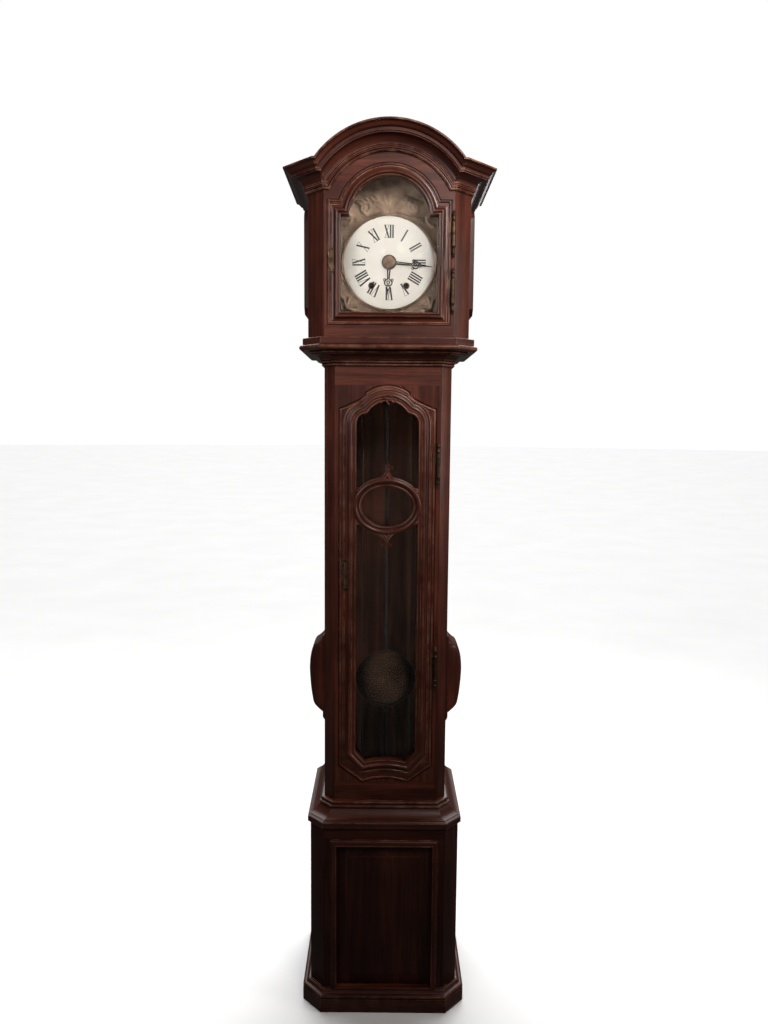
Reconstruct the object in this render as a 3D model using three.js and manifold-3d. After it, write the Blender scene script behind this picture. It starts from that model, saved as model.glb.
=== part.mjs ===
// Longcase clock with an arched hood, a long glazed door and side bulges for its pendulum.
// Millimetres, +Z up, front towards -Y. The origin is under the middle of the clock, on the floor.
import * as THREE from 'three';
import { mergeVertices } from 'three/addons/utils/BufferGeometryUtils.js';
import Module from 'manifold-3d';

const wasm = await Module();
wasm.setup();

// ---------------------------------------------------------------- driving dimensions
const gap = 0.3;                   // between pieces that touch
const doorClearance = 2;           // round each door in its frame
const board = 18;                  // case sides
const frontBoard = 22;             // front frames and doors
const backBoard = 10;

const plinthHeight = 62;
const plinthProjection = 22;
const baseHeight = 540.5;
const baseMouldingHeight = 63.5;
const trunkHeight = 1213.5;
const waistHeight = 71;
const hoodHeight = 368.5;
const corniceHeight = 62;
const corniceProjection = 62;
const corniceArchRise = 94;        // apex above the shoulders
const corniceArchSpill = 19.5;     // how far the arch foot passes the front's edge

const trunkWidth = 344;
const trunkDepth = 300;
const trunkCant = 29;
const overhangFront = 40;          // hood and base in front of the trunk
const hoodOverhangSide = 41.5;
const hoodCant = 45;
const baseOverhangSide = 37.5;
const baseCant = 41;
const trunkLap = 44;               // trunk boards reach down into the base

const hoodStile = 9.7;             // hood front beside its door
const hoodDoorSill = 33;           // hood front below its door
const hoodDoorHead = 24;           // hood front between the door's ears and the cornice
const hoodDoorArchRadius = 138;
const hoodArchBelowEar = 46.5;     // centre of the door's arch below the ears
const hoodDoorRail = 29.5;
const hoodDoorSightStile = 33.2;
const hoodSightArchRadius = 105;
const hoodSightStepRise = 8.8;     // the step of the glass above the arch centre
const beadWidth = 10;              // raised bead round each glass and panel
const beadProud = 7;

const trunkStile = 13;             // trunk front beside its door
const trunkDoorTopRail = 50.5;
const trunkDoorEarDrop = 63;       // ears below the door's apex
const trunkDoorArchDrop = 29;      // arch foot below the apex
const trunkDoorArchHalf = 59;
const trunkDoorBottomRise = 102;   // door's side corners above the trunk's foot
const trunkDoorFootDrop = 49;      // foot corners below the side corners
const trunkDoorFootHalf = 64;
const trunkDoorFootArch = 12;      // rise of the foot's shallow arch
const trunkDoorSightStile = 45.7;
const trunkSightTopDrop = 42;      // glass apex below the door's apex
const trunkSightFootRise = 62;     // glass foot above the door's foot corners
const lunetteDrop = 325;           // centre of the oval below the door's apex
const lunetteHalfHeight = 56;
const lunetteRim = 12;             // oval's rim at the sides
const ogeeShoulder = 49;           // half height of the lunette's block at the sides
const ogeeTip = 103;               // half height of the block at its points

const panelMargin = 34.5;          // base front beside its panel
const panelBottom = 65;
const panelTopMargin = 51.5;
const panelRecess = 8;
const panelThickness = 8;
const floorRise = 12;              // bottom board above the floor
const floorBoard = 12;

const sideFrameProud = 13;         // raised frames on the hood sides
const sideFrameWidth = 26;
const sideFrameInset = 26;
const sideFrameBottom = 68;
const sideFrameHeight = 280;

const glassThickness = 4;
const glassSetback = 9;
const dialSetback = 60;            // dial behind the hood's front
const dialRise = 200.2;            // dial centre above the hood's foot
const dialRadius = 120;
const surroundHalf = 131;
const surroundThickness = 3;
const surroundFoot = 137;          // dial centre above the surround's foot
const surroundArchRise = 106;      // centre of the surround's arch above the dial centre
const surroundArchRadius = 118;
const windingX = 46;
const windingDrop = 59.7;
const windingHoleRadius = 8.5;
const centreHoleRadius = 8;

const arborClearance = 0.3;
const minuteArborRadius = 3;
const drumArborRadius = 4;
const minuteLength = 115;
const hourLength = 85;
const minuteAngle = 95.5;          // degrees clockwise from the top
const hourAngle = 182;

const pendulumSetback = 49;        // pendulum behind the dial
const pendulumPivotRise = 61;      // pivot above the dial centre
const pendulumLength = 1213;
const pendulumSwing = 4;           // degrees each way
const bobRadius = 83;
const bobThickness = 30;
const bulgeClearance = 39;
const bulgeHalfDepth = 60;
const bulgeBelowBob = 22;
const bulgeAboveBob = 53;
const bulgeWall = 9;

const cageHalf = 118;
const cageDepth = 130;
const cageHeight = 272;
const plate = 4;
const strapWidth = 16;
const drumRadius = 24;             // to the middle of the cord
const drumLength = 50;
const cordRadius = 1.5;
const cordHoleRadius = 9;
const weightRadius = 42;
const weightHeight = 215;
const weightFloor = 100;           // weight above the floor when run down
const hookHeight = 30;
const bellRadius = 60;

const hoodHingeLength = 120;
const hoodHingeRadius = 5.5;
const trunkHingeLength = 125;
const trunkHingeRadius = 5;
const leafThickness = 2;

// ---------------------------------------------------------------- places that follow
const hoodHalf = trunkWidth / 2 + hoodOverhangSide;
const baseHalf = trunkWidth / 2 + baseOverhangSide;
const trunkHalf = trunkWidth / 2;
const hoodFrontHalf = hoodHalf - hoodCant;
const baseFrontHalf = baseHalf - baseCant;
const trunkFrontHalf = trunkHalf - trunkCant;
const backY = (trunkDepth + overhangFront + corniceProjection) / 2;
const trunkFrontY = backY - trunkDepth;
const hoodFrontY = trunkFrontY - overhangFront;
const baseFrontY = hoodFrontY;

const trunkFootZ = baseHeight + baseMouldingHeight;
const waistZ = trunkFootZ + trunkHeight;
const hoodFootZ = waistZ + waistHeight;
const corniceZ = hoodFootZ + hoodHeight;
const shoulderZ = corniceZ + corniceHeight;
const apexZ = shoulderZ + corniceArchRise;
const archHalf = hoodFrontHalf + corniceArchSpill;
const archRadius = (archHalf ** 2 + corniceArchRise ** 2) / (2 * corniceArchRise);
const archZ = apexZ - archRadius;
const roofThickness = 8;

const dialY = hoodFrontY + dialSetback;
const dialZ = hoodFootZ + dialRise;
const pendulumY = dialY + pendulumSetback;
const pivotZ = dialZ + pendulumPivotRise;
const bobZ = pivotZ - pendulumLength;
const swingReach = pendulumLength * Math.sin(THREE.MathUtils.degToRad(pendulumSwing));
const bulgeProud = bobRadius + swingReach + bulgeClearance + bulgeWall - trunkHalf;

const seatZ = hoodFootZ + gap;
const cageZ = seatZ + board + gap;
const cageY = pendulumY + 30;
const cageTopZ = cageZ + cageHeight;
const drumZ = dialZ - windingDrop;
const drumY = cageY + cageDepth / 2;
const cordX = windingX + drumRadius;
const weightTopZ = weightFloor + weightHeight;

// ---------------------------------------------------------------- materials
function finish(color, roughness, metalness = 0, opacity = 1) {
  return new THREE.MeshStandardMaterial({
    color, roughness, metalness, opacity, transparent: opacity < 1,
  });
}

const walnut = finish(0x4a2416, 0.38);
const panelWood = finish(0x52291a, 0.42);
const carcassWood = finish(0x7a5a3c, 0.7);
const brass = finish(0xc39a4e, 0.35, 0.9);
const bronze = finish(0x8d6a35, 0.45, 0.85);
const embossed = finish(0xb98d3e, 0.38, 0.9);
const enamel = finish(0xe9e6dc, 0.25);
const blued = finish(0x2b1d16, 0.4, 0.7);
const iron = finish(0x3c3b3a, 0.6, 0.8);
const steel = finish(0x9b9a98, 0.35, 0.9);
const pane = finish(0xdfe6e4, 0.05, 0, 0.3);
const hemp = finish(0x8a7350, 0.9);

// ---------------------------------------------------------------- shape helpers
const clock = new THREE.Group();

function add(name, geometry, material) {
  const mesh = new THREE.Mesh(geometry, material);
  mesh.name = name;
  clock.add(mesh);
}

// Adds a piece made for the right-hand side, and its mirror image for the left.
function addPair(name, geometry, material) {
  add(`${name}_right`, geometry, material);
  add(`${name}_left`, mirrored(geometry), material);
}

function signedVolume(geometry) {
  const index = geometry.index.array;
  const corner = [0, 1, 2].map(() => new THREE.Vector3());
  let sum = 0;
  for (let i = 0; i < index.length; i += 3) {
    corner.forEach((v, k) => v.fromBufferAttribute(geometry.attributes.position, index[i + k]));
    sum += corner[0].dot(corner[1].clone().cross(corner[2]));
  }
  return sum / 6;
}

// Welds the corners of a closed surface and turns its faces outwards.
function welded(geometry) {
  const bare = geometry.clone();
  bare.deleteAttribute('normal');
  bare.deleteAttribute('uv');
  const merged = mergeVertices(bare, 1e-4);
  if (signedVolume(merged) < 0) {
    const index = merged.index.array;
    for (let i = 0; i < index.length; i += 3) {
      [index[i], index[i + 1]] = [index[i + 1], index[i]];
    }
  }
  return merged;
}

function mirrored(geometry) {
  return welded(geometry.clone().scale(-1, 1, 1));
}

function solid(geometry) {
  const merged = welded(geometry);
  return new wasm.Manifold(new wasm.Mesh({
    numProp: 3,
    vertProperties: Float32Array.from(merged.attributes.position.array),
    triVerts: Uint32Array.from(merged.index.array),
  }));
}

function surface(body) {
  const mesh = body.getMesh();
  const geometry = new THREE.BufferGeometry();
  geometry.setAttribute('position', new THREE.BufferAttribute(mesh.vertProperties, 3));
  geometry.setIndex(new THREE.BufferAttribute(mesh.triVerts, 1));
  return geometry;
}

function joined(...geometries) {
  return surface(geometries.map(solid).reduce((whole, piece) => whole.add(piece)));
}

function cut(geometry, ...tools) {
  return surface(tools.map(solid).reduce((whole, tool) => whole.subtract(tool), solid(geometry)));
}

function common(geometry, other) {
  return surface(solid(geometry).intersect(solid(other)));
}

function polygon(points) {
  return new THREE.Shape(points.map(([x, y]) => new THREE.Vector2(x, y)));
}

function rectangle(x0, y0, x1, y1) {
  return polygon([[x0, y0], [x1, y0], [x1, y1], [x0, y1]]);
}

function block(x0, x1, y0, y1, z0, z1) {
  const box = new THREE.BoxGeometry(x1 - x0, y1 - y0, z1 - z0);
  return box.translate((x0 + x1) / 2, (y0 + y1) / 2, (z0 + z1) / 2);
}

// A plan drawn in X and Y, raised from z0 to z1.
function raise(shape, z0, z1, curveSegments = 12) {
  const options = { depth: z1 - z0, bevelEnabled: false, curveSegments };
  return new THREE.ExtrudeGeometry(shape, options).translate(0, 0, z0);
}

// A front view drawn in X and Z, thickened from yFront back to yBack.
function thicken(shape, yFront, yBack, curveSegments = 12) {
  const options = { depth: yBack - yFront, bevelEnabled: false, curveSegments };
  return new THREE.ExtrudeGeometry(shape, options).rotateX(Math.PI / 2).translate(0, yBack, 0);
}

// A side view drawn in Y and Z, thickened from x0 to x1.
function widen(shape, x0, x1, curveSegments = 12) {
  const turn = new THREE.Matrix4().makeBasis(
    new THREE.Vector3(0, 1, 0),
    new THREE.Vector3(0, 0, 1),
    new THREE.Vector3(1, 0, 0),
  );
  const options = { depth: x1 - x0, bevelEnabled: false, curveSegments };
  return new THREE.ExtrudeGeometry(shape, options).applyMatrix4(turn).translate(x0, 0, 0);
}

// A rod along Y with its middle line at x, z.
function rodY(radius, x, z, yFront, yBack, sides = 16) {
  const rod = new THREE.CylinderGeometry(radius, radius, yBack - yFront, sides);
  return rod.translate(x, (yFront + yBack) / 2, z);
}

function rodZ(radius, x, y, z0, z1, sides = 16) {
  const rod = new THREE.CylinderGeometry(radius, radius, z1 - z0, sides);
  return rod.rotateX(Math.PI / 2).translate(x, y, (z0 + z1) / 2);
}

// A turned piece about a vertical line, from radius and height pairs.
function turned(profile, x, y, z, segments = 32) {
  const points = profile.map(([r, h]) => new THREE.Vector2(r, h));
  return new THREE.LatheGeometry(points, segments).rotateX(Math.PI / 2).translate(x, y, z);
}

// Carries a moulding profile, drawn as [out, up] points, through mitred stations.
function carry(profile, stations) {
  const last = stations.length - 1;
  const options = { depth: last, steps: last, bevelEnabled: false };
  const geometry = new THREE.ExtrudeGeometry(polygon(profile), options);
  const position = geometry.attributes.position;
  for (let i = 0; i < position.count; i++) {
    const station = stations[Math.round(position.getZ(i))];
    const point = station.at.clone();
    point.addScaledVector(station.out, position.getX(i));
    point.addScaledVector(station.up, position.getY(i));
    position.setXYZ(i, point.x, point.y, point.z);
  }
  return welded(geometry);
}

// The plan of a case stage from its back left corner round both canted corners.
function plan(half, frontY, cant) {
  const right = [[half - cant, frontY], [half, frontY + cant], [half, backY]];
  const left = right.map(([x, y]) => [-x, y]).reverse();
  return [...left, ...right];
}

// The same plan with every face moved outwards by a distance.
function grown(half, frontY, cant, distance) {
  const mitre = Math.tan(Math.PI / 8);
  return plan(half + distance, frontY - distance, cant + distance * (1 - mitre));
}

// Stations from an inner plan towards an outer one that lies reach further out.
function between(inner, outer, reach, z) {
  return inner.map(([x, y], i) => ({
    at: new THREE.Vector3(x, y, z),
    out: new THREE.Vector3((outer[i][0] - x) / reach, (outer[i][1] - y) / reach, 0),
    up: new THREE.Vector3(0, 0, 1),
  }));
}

const trunkPlan = plan(trunkHalf, trunkFrontY, trunkCant);
const hoodPlan = plan(hoodHalf, hoodFrontY, hoodCant);
const basePlan = plan(baseHalf, baseFrontY, baseCant);

// A canted corner post between the front frame and a side board.
function cornerPost(half, frontY, cant, z0, z1) {
  const frontHalf = half - cant + gap;
  const sideY = frontY + cant - gap;
  return raise(polygon([
    [frontHalf, frontY + gap],
    [half - gap, sideY],
    [half - board, sideY],
    [frontHalf, frontY + frontBoard],
  ]), z0, z1);
}

// ---------------------------------------------------------------- base
const panelHalf = baseFrontHalf - panelMargin;
const panelTop = baseHeight - panelTopMargin;
const baseBoardTop = baseHeight - gap;

function plinthMoulding() {
  const profile = [
    [gap, 0], [plinthProjection, 0], [plinthProjection, 39], [19, 41], [20.5, 45], [19, 49.5],
    [13, 51], [10, 56], [4, 59], [3, plinthHeight], [gap, plinthHeight],
  ];
  const outer = grown(baseHalf, baseFrontY, baseCant, plinthProjection);
  return carry(profile, between(basePlan, outer, plinthProjection, 0));
}

function baseFrontFrame() {
  const half = baseFrontHalf - gap;
  const frame = rectangle(-half, 0, half, baseBoardTop);
  const bead = rectangle(
    -panelHalf - beadWidth, panelBottom, panelHalf + beadWidth, panelTop + beadWidth,
  );
  const opening = rectangle(-panelHalf, panelBottom, panelHalf, panelTop);
  return cut(
    joined(
      thicken(frame, baseFrontY, baseFrontY + frontBoard),
      thicken(bead, baseFrontY - beadProud, baseFrontY + 1),
    ),
    thicken(opening, baseFrontY - beadProud - 1, baseFrontY + frontBoard + 1),
  );
}

function baseFrontPanel() {
  const half = panelHalf - gap;
  const face = rectangle(-half, panelBottom + gap, half, panelTop - gap);
  return thicken(face, baseFrontY + panelRecess, baseFrontY + panelRecess + panelThickness);
}

function baseMoulding() {
  const lip = overhangFront + 8;
  const profile = [
    [gap, 0], [lip - 2, 0], [lip, 3], [lip, 18], [lip - 4, 22.5], [31, 29], [20, 38], [14, 45],
    [13, 49], [14, 53], [9, 55], [8, 58.5], [6, baseMouldingHeight], [gap, baseMouldingHeight],
  ];
  return carry(profile, between(trunkPlan, basePlan, overhangFront, baseHeight));
}

function baseFloor() {
  const half = baseHalf - board - gap;
  const front = baseFrontY + baseCant + gap;
  const back = backY - backBoard - gap;
  return block(-half, half, front, back, floorRise, floorRise + floorBoard);
}

add('plinth_moulding', plinthMoulding(), walnut);
add('base_floor', baseFloor(), carcassWood);
add('base_front_frame', baseFrontFrame(), walnut);
add('base_front_panel', baseFrontPanel(), panelWood);
addPair('base_corner', cornerPost(baseHalf, baseFrontY, baseCant, 0, baseBoardTop), walnut);
addPair(
  'base_side',
  block(baseHalf - board, baseHalf, baseFrontY + baseCant, backY, 0, baseBoardTop),
  panelWood,
);
add('base_top_moulding', baseMoulding(), walnut);

// ---------------------------------------------------------------- trunk
const trunkBoardZ = trunkFootZ - trunkLap;
const trunkBoardTop = hoodFootZ - gap;
const doorHalf = trunkFrontHalf - trunkStile;
const doorApexZ = waistZ - trunkDoorTopRail;
const doorEarZ = doorApexZ - trunkDoorEarDrop;
const doorCornerZ = trunkFootZ + trunkDoorBottomRise;
const doorFootZ = doorCornerZ - trunkDoorFootDrop;
const sightHalf = doorHalf - trunkDoorSightStile;
const lunetteZ = doorApexZ - lunetteDrop;
const doorBackY = trunkFrontY + frontBoard;

// The long door's outline: eared serpentine arch above, cut corners and shallow arch below.
function trunkDoorOutline(grow) {
  const half = doorHalf + grow;
  const earZ = doorEarZ + grow;
  const archHalfWidth = trunkDoorArchHalf + grow;
  const archFootZ = doorApexZ - trunkDoorArchDrop + grow;
  const apex = doorApexZ + grow;
  const cornerZ = doorCornerZ - grow;
  const footZ = doorFootZ - grow;
  const footHalf = trunkDoorFootHalf + grow / 2;
  const footArchZ = footZ + 2 * trunkDoorFootArch;
  const shape = new THREE.Shape();
  shape.moveTo(half, cornerZ);
  shape.lineTo(half, earZ);
  shape.quadraticCurveTo(archHalfWidth + 33, earZ + 14, archHalfWidth, archFootZ);
  shape.lineTo(archHalfWidth, archFootZ + 9);
  shape.quadraticCurveTo(archHalfWidth / 2 + 4, apex, 0, apex);
  shape.quadraticCurveTo(-archHalfWidth / 2 - 4, apex, -archHalfWidth, archFootZ + 9);
  shape.lineTo(-archHalfWidth, archFootZ);
  shape.quadraticCurveTo(-archHalfWidth - 33, earZ + 14, -half, earZ);
  shape.lineTo(-half, cornerZ);
  shape.lineTo(-footHalf, footZ);
  shape.quadraticCurveTo(0, footArchZ, footHalf, footZ);
  return shape;
}

// The glass above the lunette: arched top, ogee foot.
function upperSight(grow) {
  const half = sightHalf + grow;
  const shoulder = doorEarZ - 40 + grow;
  const apex = doorApexZ - trunkSightTopDrop + grow;
  const shape = new THREE.Shape();
  shape.moveTo(half, lunetteZ + ogeeShoulder - grow);
  shape.lineTo(half, shoulder);
  shape.quadraticCurveTo(half - 3, shoulder + 27, 55 + grow, shoulder + 30);
  shape.quadraticCurveTo(33 + grow, apex, 0, apex);
  shape.quadraticCurveTo(-33 - grow, apex, -55 - grow, shoulder + 30);
  shape.quadraticCurveTo(-half + 3, shoulder + 27, -half, shoulder);
  shape.lineTo(-half, lunetteZ + ogeeShoulder - grow);
  shape.bezierCurveTo(
    -half + 34, lunetteZ + ogeeShoulder - grow, -14, lunetteZ + 70 - grow, 0, lunetteZ + ogeeTip - grow,
  );
  shape.bezierCurveTo(
    14, lunetteZ + 70 - grow, half - 34, lunetteZ + ogeeShoulder - grow, half, lunetteZ + ogeeShoulder - grow,
  );
  return shape;
}

// The glass below the lunette: ogee head, cut corners and shallow arched foot.
function lowerSight(grow) {
  const half = sightHalf + grow;
  const head = lunetteZ - ogeeShoulder + grow;
  const tip = lunetteZ - ogeeTip + grow;
  const foot = doorFootZ + trunkSightFootRise - grow;
  const cutZ = foot + 29;
  const shape = new THREE.Shape();
  shape.moveTo(half, head);
  shape.bezierCurveTo(half - 34, head, 14, tip + 33, 0, tip);
  shape.bezierCurveTo(-14, tip + 33, -half + 34, head, -half, head);
  shape.lineTo(-half, cutZ);
  shape.lineTo(-half + 27, foot);
  shape.quadraticCurveTo(0, foot + 14, half - 27, foot);
  shape.lineTo(half, cutZ);
  return shape;
}

function lunetteSight(grow) {
  const shape = new THREE.Shape();
  const halfWidth = sightHalf - lunetteRim + grow;
  shape.absellipse(0, lunetteZ, halfWidth, lunetteHalfHeight + grow, 0, Math.PI * 2, false, 0);
  return shape;
}

function trunkDoorFrame() {
  const front = trunkFrontY - beadProud;
  const bands = [upperSight(beadWidth), lowerSight(beadWidth), lunetteSight(beadWidth)];
  const sights = [upperSight(0), lowerSight(0), lunetteSight(0)];
  return cut(
    joined(
      thicken(trunkDoorOutline(0), trunkFrontY, doorBackY),
      ...bands.map((shape) => thicken(shape, front, trunkFrontY + 1)),
    ),
    ...sights.map((shape) => thicken(shape, front - 1, doorBackY + 1)),
  );
}

// A pane that fills an opening with the usual gap, set back in the door.
function paneIn(shape, frontY) {
  const geometry = thicken(shape, frontY + glassSetback, frontY + glassSetback + glassThickness);
  geometry.computeBoundingBox();
  const middle = geometry.boundingBox.getCenter(new THREE.Vector3());
  const size = geometry.boundingBox.getSize(new THREE.Vector3());
  geometry.translate(-middle.x, 0, -middle.z);
  geometry.scale(1 - 2 * gap / size.x, 1, 1 - 3 * gap / size.z);
  return geometry.translate(middle.x, 0, middle.z);
}

function trunkFrontFrame() {
  const half = trunkFrontHalf - gap;
  return cut(
    thicken(rectangle(-half, trunkBoardZ, half, trunkBoardTop), trunkFrontY, doorBackY),
    thicken(trunkDoorOutline(doorClearance), trunkFrontY - 1, doorBackY + 1),
  );
}

const bulgeY = pendulumY + 22;
const bulgeFoot = bobZ - bobRadius - bulgeBelowBob;
const bulgeHead = bobZ + bobRadius + bulgeAboveBob;

// The side view of a bulge, seen from the front: a deep shoulder and a fuller belly below it.
function bulgeOutline(wall) {
  const x = trunkHalf + gap;
  const deep = bulgeProud - wall;
  const inside = wall > 0 ? -board : 0;
  const shape = new THREE.Shape();
  shape.moveTo(x + inside, bulgeFoot + wall * 1.5);
  shape.lineTo(x + 3, bulgeFoot + 12 + wall * 1.5);
  shape.quadraticCurveTo(x + deep * 0.45, bulgeFoot + 30 + wall, x + deep * 0.72, bulgeFoot + 45 + wall);
  shape.quadraticCurveTo(x + deep * 0.95, bobZ - 10, x + deep, bobZ + 30);
  shape.quadraticCurveTo(x + deep * 0.95, bobZ + 85 - wall, x + deep * 0.62, bobZ + 104 - wall);
  shape.quadraticCurveTo(x + deep * 0.3, bobZ + 112 - wall, x + 3, bulgeHead - 8 - wall * 1.5);
  shape.lineTo(x + inside, bulgeHead - wall * 1.5);
  return shape;
}

function sideBulge() {
  const front = bulgeY - bulgeHalfDepth;
  const back = bulgeY + bulgeHalfDepth;
  return cut(
    thicken(bulgeOutline(0), front, back, 6),
    thicken(bulgeOutline(bulgeWall), front + bulgeWall, back - bulgeWall, 6),
  );
}

function trunkSide() {
  const opening = block(
    trunkHalf - board - 1, trunkHalf + 1,
    bulgeY - bulgeHalfDepth + bulgeWall + 3, bulgeY + bulgeHalfDepth - bulgeWall - 3,
    bulgeFoot + 24, bulgeHead - 24,
  );
  return cut(
    block(trunkHalf - board, trunkHalf, trunkFrontY + trunkCant, backY, trunkBoardZ, trunkBoardTop),
    opening,
  );
}

function waistMoulding() {
  const torus = overhangFront + 22;
  const shelf = overhangFront + 13.5;
  const profile = [
    [gap, 0], [4, 0], [8, 4], [7, 10], [12, 15.5], [18, 23], [28, 28], [34, 29.5], [38, 33],
    [42, 37.5], [torus - 4, 38.5], [torus, 45.5], [torus - 4, 52], [shelf, 53.5],
    [shelf, waistHeight], [gap, waistHeight],
  ];
  return carry(profile, between(trunkPlan, hoodPlan, overhangFront, waistZ));
}

add('trunk_front_frame', trunkFrontFrame(), walnut);
addPair(
  'trunk_corner',
  cornerPost(trunkHalf, trunkFrontY, trunkCant, trunkBoardZ, trunkBoardTop),
  walnut,
);
addPair('trunk_side', trunkSide(), panelWood);
addPair('side_bulge', sideBulge(), walnut);
add('waist_moulding', waistMoulding(), walnut);
add('trunk_door_frame', trunkDoorFrame(), walnut);
add('trunk_door_glass_upper', paneIn(upperSight(0), trunkFrontY), pane);
add('trunk_door_glass_oval', paneIn(lunetteSight(0), trunkFrontY), pane);
add('trunk_door_glass_lower', paneIn(lowerSight(0), trunkFrontY), pane);

// ---------------------------------------------------------------- back board
function backBoardPiece() {
  const baseEdge = baseHalf - board - gap;
  const trunkEdge = trunkHalf - board - gap;
  const hoodEdge = hoodHalf - board - gap;
  const roofZ = shoulderZ - roofThickness - gap;
  const radius = archRadius - roofThickness - gap;
  const angle = Math.asin((roofZ - archZ) / radius);
  const shape = new THREE.Shape();
  shape.moveTo(baseEdge, 0);
  shape.lineTo(baseEdge, baseBoardTop);
  shape.lineTo(trunkEdge, baseBoardTop);
  shape.lineTo(trunkEdge, hoodFootZ + gap);
  shape.lineTo(hoodEdge, hoodFootZ + gap);
  shape.lineTo(hoodEdge, roofZ);
  shape.absarc(0, archZ, radius, angle, Math.PI - angle, false);
  shape.lineTo(-hoodEdge, roofZ);
  shape.lineTo(-hoodEdge, hoodFootZ + gap);
  shape.lineTo(-trunkEdge, hoodFootZ + gap);
  shape.lineTo(-trunkEdge, baseBoardTop);
  shape.lineTo(-baseEdge, baseBoardTop);
  shape.lineTo(-baseEdge, 0);
  return thicken(shape, backY - backBoard, backY, 20);
}

add('back_board', backBoardPiece(), carcassWood);

// ---------------------------------------------------------------- hood
const hoodBoardTop = shoulderZ - roofThickness - gap;
const hoodBackFace = hoodFrontY + frontBoard;
const hoodDoorHalf = hoodFrontHalf - hoodStile;
const hoodDoorFootZ = hoodFootZ + hoodDoorSill;
const hoodDoorEarZ = corniceZ - hoodDoorHead;
const hoodDoorArchZ = hoodDoorEarZ - hoodArchBelowEar;

// An eared arch: straight sides up to a flat ear, then a round arch between the ears.
function earedArch(half, footZ, earZ, centreZ, radius) {
  const rise = Math.asin((earZ - centreZ) / radius);
  const shape = new THREE.Shape();
  shape.moveTo(-half, footZ);
  shape.lineTo(half, footZ);
  shape.lineTo(half, earZ);
  shape.absarc(0, centreZ, radius, rise, Math.PI - rise, false);
  shape.lineTo(-half, earZ);
  return shape;
}

function hoodDoorOutline(grow) {
  return earedArch(
    hoodDoorHalf + grow, hoodDoorFootZ - grow, hoodDoorEarZ + grow,
    hoodDoorArchZ, hoodDoorArchRadius + grow,
  );
}

function hoodSight(grow) {
  return earedArch(
    hoodDoorHalf - hoodDoorSightStile + grow, hoodDoorFootZ + hoodDoorRail - grow,
    hoodDoorArchZ + hoodSightStepRise + grow, hoodDoorArchZ, hoodSightArchRadius + grow,
  );
}

function hoodFrontFrame() {
  const half = hoodFrontHalf - gap;
  const radius = archRadius - roofThickness - gap;
  const rise = Math.acos(half / radius);
  const shape = new THREE.Shape();
  shape.moveTo(-half, hoodFootZ + gap);
  shape.lineTo(half, hoodFootZ + gap);
  shape.absarc(0, archZ, radius, rise, Math.PI - rise, false);
  return cut(
    thicken(shape, hoodFrontY, hoodBackFace, 20),
    thicken(hoodDoorOutline(doorClearance), hoodFrontY - 1, hoodBackFace + 1, 20),
  );
}

// The hood's side board with its raised frame, round at the top.
function hoodSide() {
  const x0 = hoodHalf - board;
  const y0 = hoodFrontY + hoodCant + sideFrameInset;
  const y1 = backY - sideFrameInset;
  const z0 = hoodFootZ + sideFrameBottom;
  const z1 = z0 + sideFrameHeight;
  const outer = new THREE.Shape();
  outer.moveTo(y0, z0 + 16);
  outer.lineTo(y0 + 16, z0);
  outer.lineTo(y1 - 16, z0);
  outer.lineTo(y1, z0 + 16);
  outer.lineTo(y1, z1 - 40);
  outer.quadraticCurveTo(y1, z1, y1 - 60, z1);
  outer.lineTo(y0 + 60, z1);
  outer.quadraticCurveTo(y0, z1, y0, z1 - 40);
  const w = sideFrameWidth;
  const inner = rectangle(y0 + w, z0 + w, y1 - w, z1 - w);
  return cut(
    joined(
      block(x0, hoodHalf, hoodFrontY + hoodCant, backY, hoodFootZ + gap, hoodBoardTop),
      widen(outer, hoodHalf - 1, hoodHalf + sideFrameProud, 6),
    ),
    widen(inner, hoodHalf, hoodHalf + sideFrameProud + 1),
  );
}

// Roof board: flat shoulders and a vault that follows the cornice arch.
function hoodRoof() {
  const half = hoodHalf - gap;
  const under = shoulderZ - roofThickness;
  const innerRadius = archRadius - roofThickness;
  const outerRise = Math.asin((shoulderZ - archZ) / archRadius);
  const innerRise = Math.asin((under - archZ) / innerRadius);
  const shape = new THREE.Shape();
  shape.moveTo(half, under);
  shape.lineTo(half, shoulderZ);
  shape.absarc(0, archZ, archRadius, outerRise, Math.PI - outerRise, false);
  shape.lineTo(-half, shoulderZ);
  shape.lineTo(-half, under);
  shape.absarc(0, archZ, innerRadius, Math.PI - innerRise, innerRise, true);
  const shell = thicken(shape, hoodFrontY + gap, backY, 20);
  const limit = raise(polygon(grown(hoodHalf, hoodFrontY, hoodCant, -gap)), under - 1, apexZ + 1);
  return common(shell, limit);
}

const corniceProfile = [
  [gap, 0], [5, 0], [8, 3], [7, 8], [12, 12], [14, 15], [20, 27], [31, 36], [38, 38], [43, 39],
  [43, 45], [48, 50], [56, 54], [corniceProjection, 57], [corniceProjection, corniceHeight],
  [gap, corniceHeight],
];

// The moulding from the back along the side and round the cant, up to the arch's mitre.
function corniceReturn(mitreFoot, mitreHead) {
  const outer = grown(hoodHalf, hoodFrontY, hoodCant, corniceProjection);
  const stations = between(hoodPlan, outer, corniceProjection, corniceZ).slice(3);
  const start = {
    at: new THREE.Vector3(mitreFoot.x / 2, hoodFrontY, corniceZ),
    out: new THREE.Vector3(0, -1, 0),
    up: new THREE.Vector3(0, 0, 1),
  };
  const slope = mitreHead.clone().sub(mitreFoot);
  const low = mitreFoot.clone().sub(slope);
  const high = mitreHead.clone().add(slope);
  const far = hoodHalf + corniceProjection + 10;
  const keep = polygon([
    [low.x - 0.05, low.y], [far, low.y], [far, high.y], [high.x - 0.05, high.y],
  ]);
  return common(
    carry(corniceProfile, [start, ...stations]),
    thicken(keep, hoodFrontY - corniceProjection - 1, backY + 1),
  );
}

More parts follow.
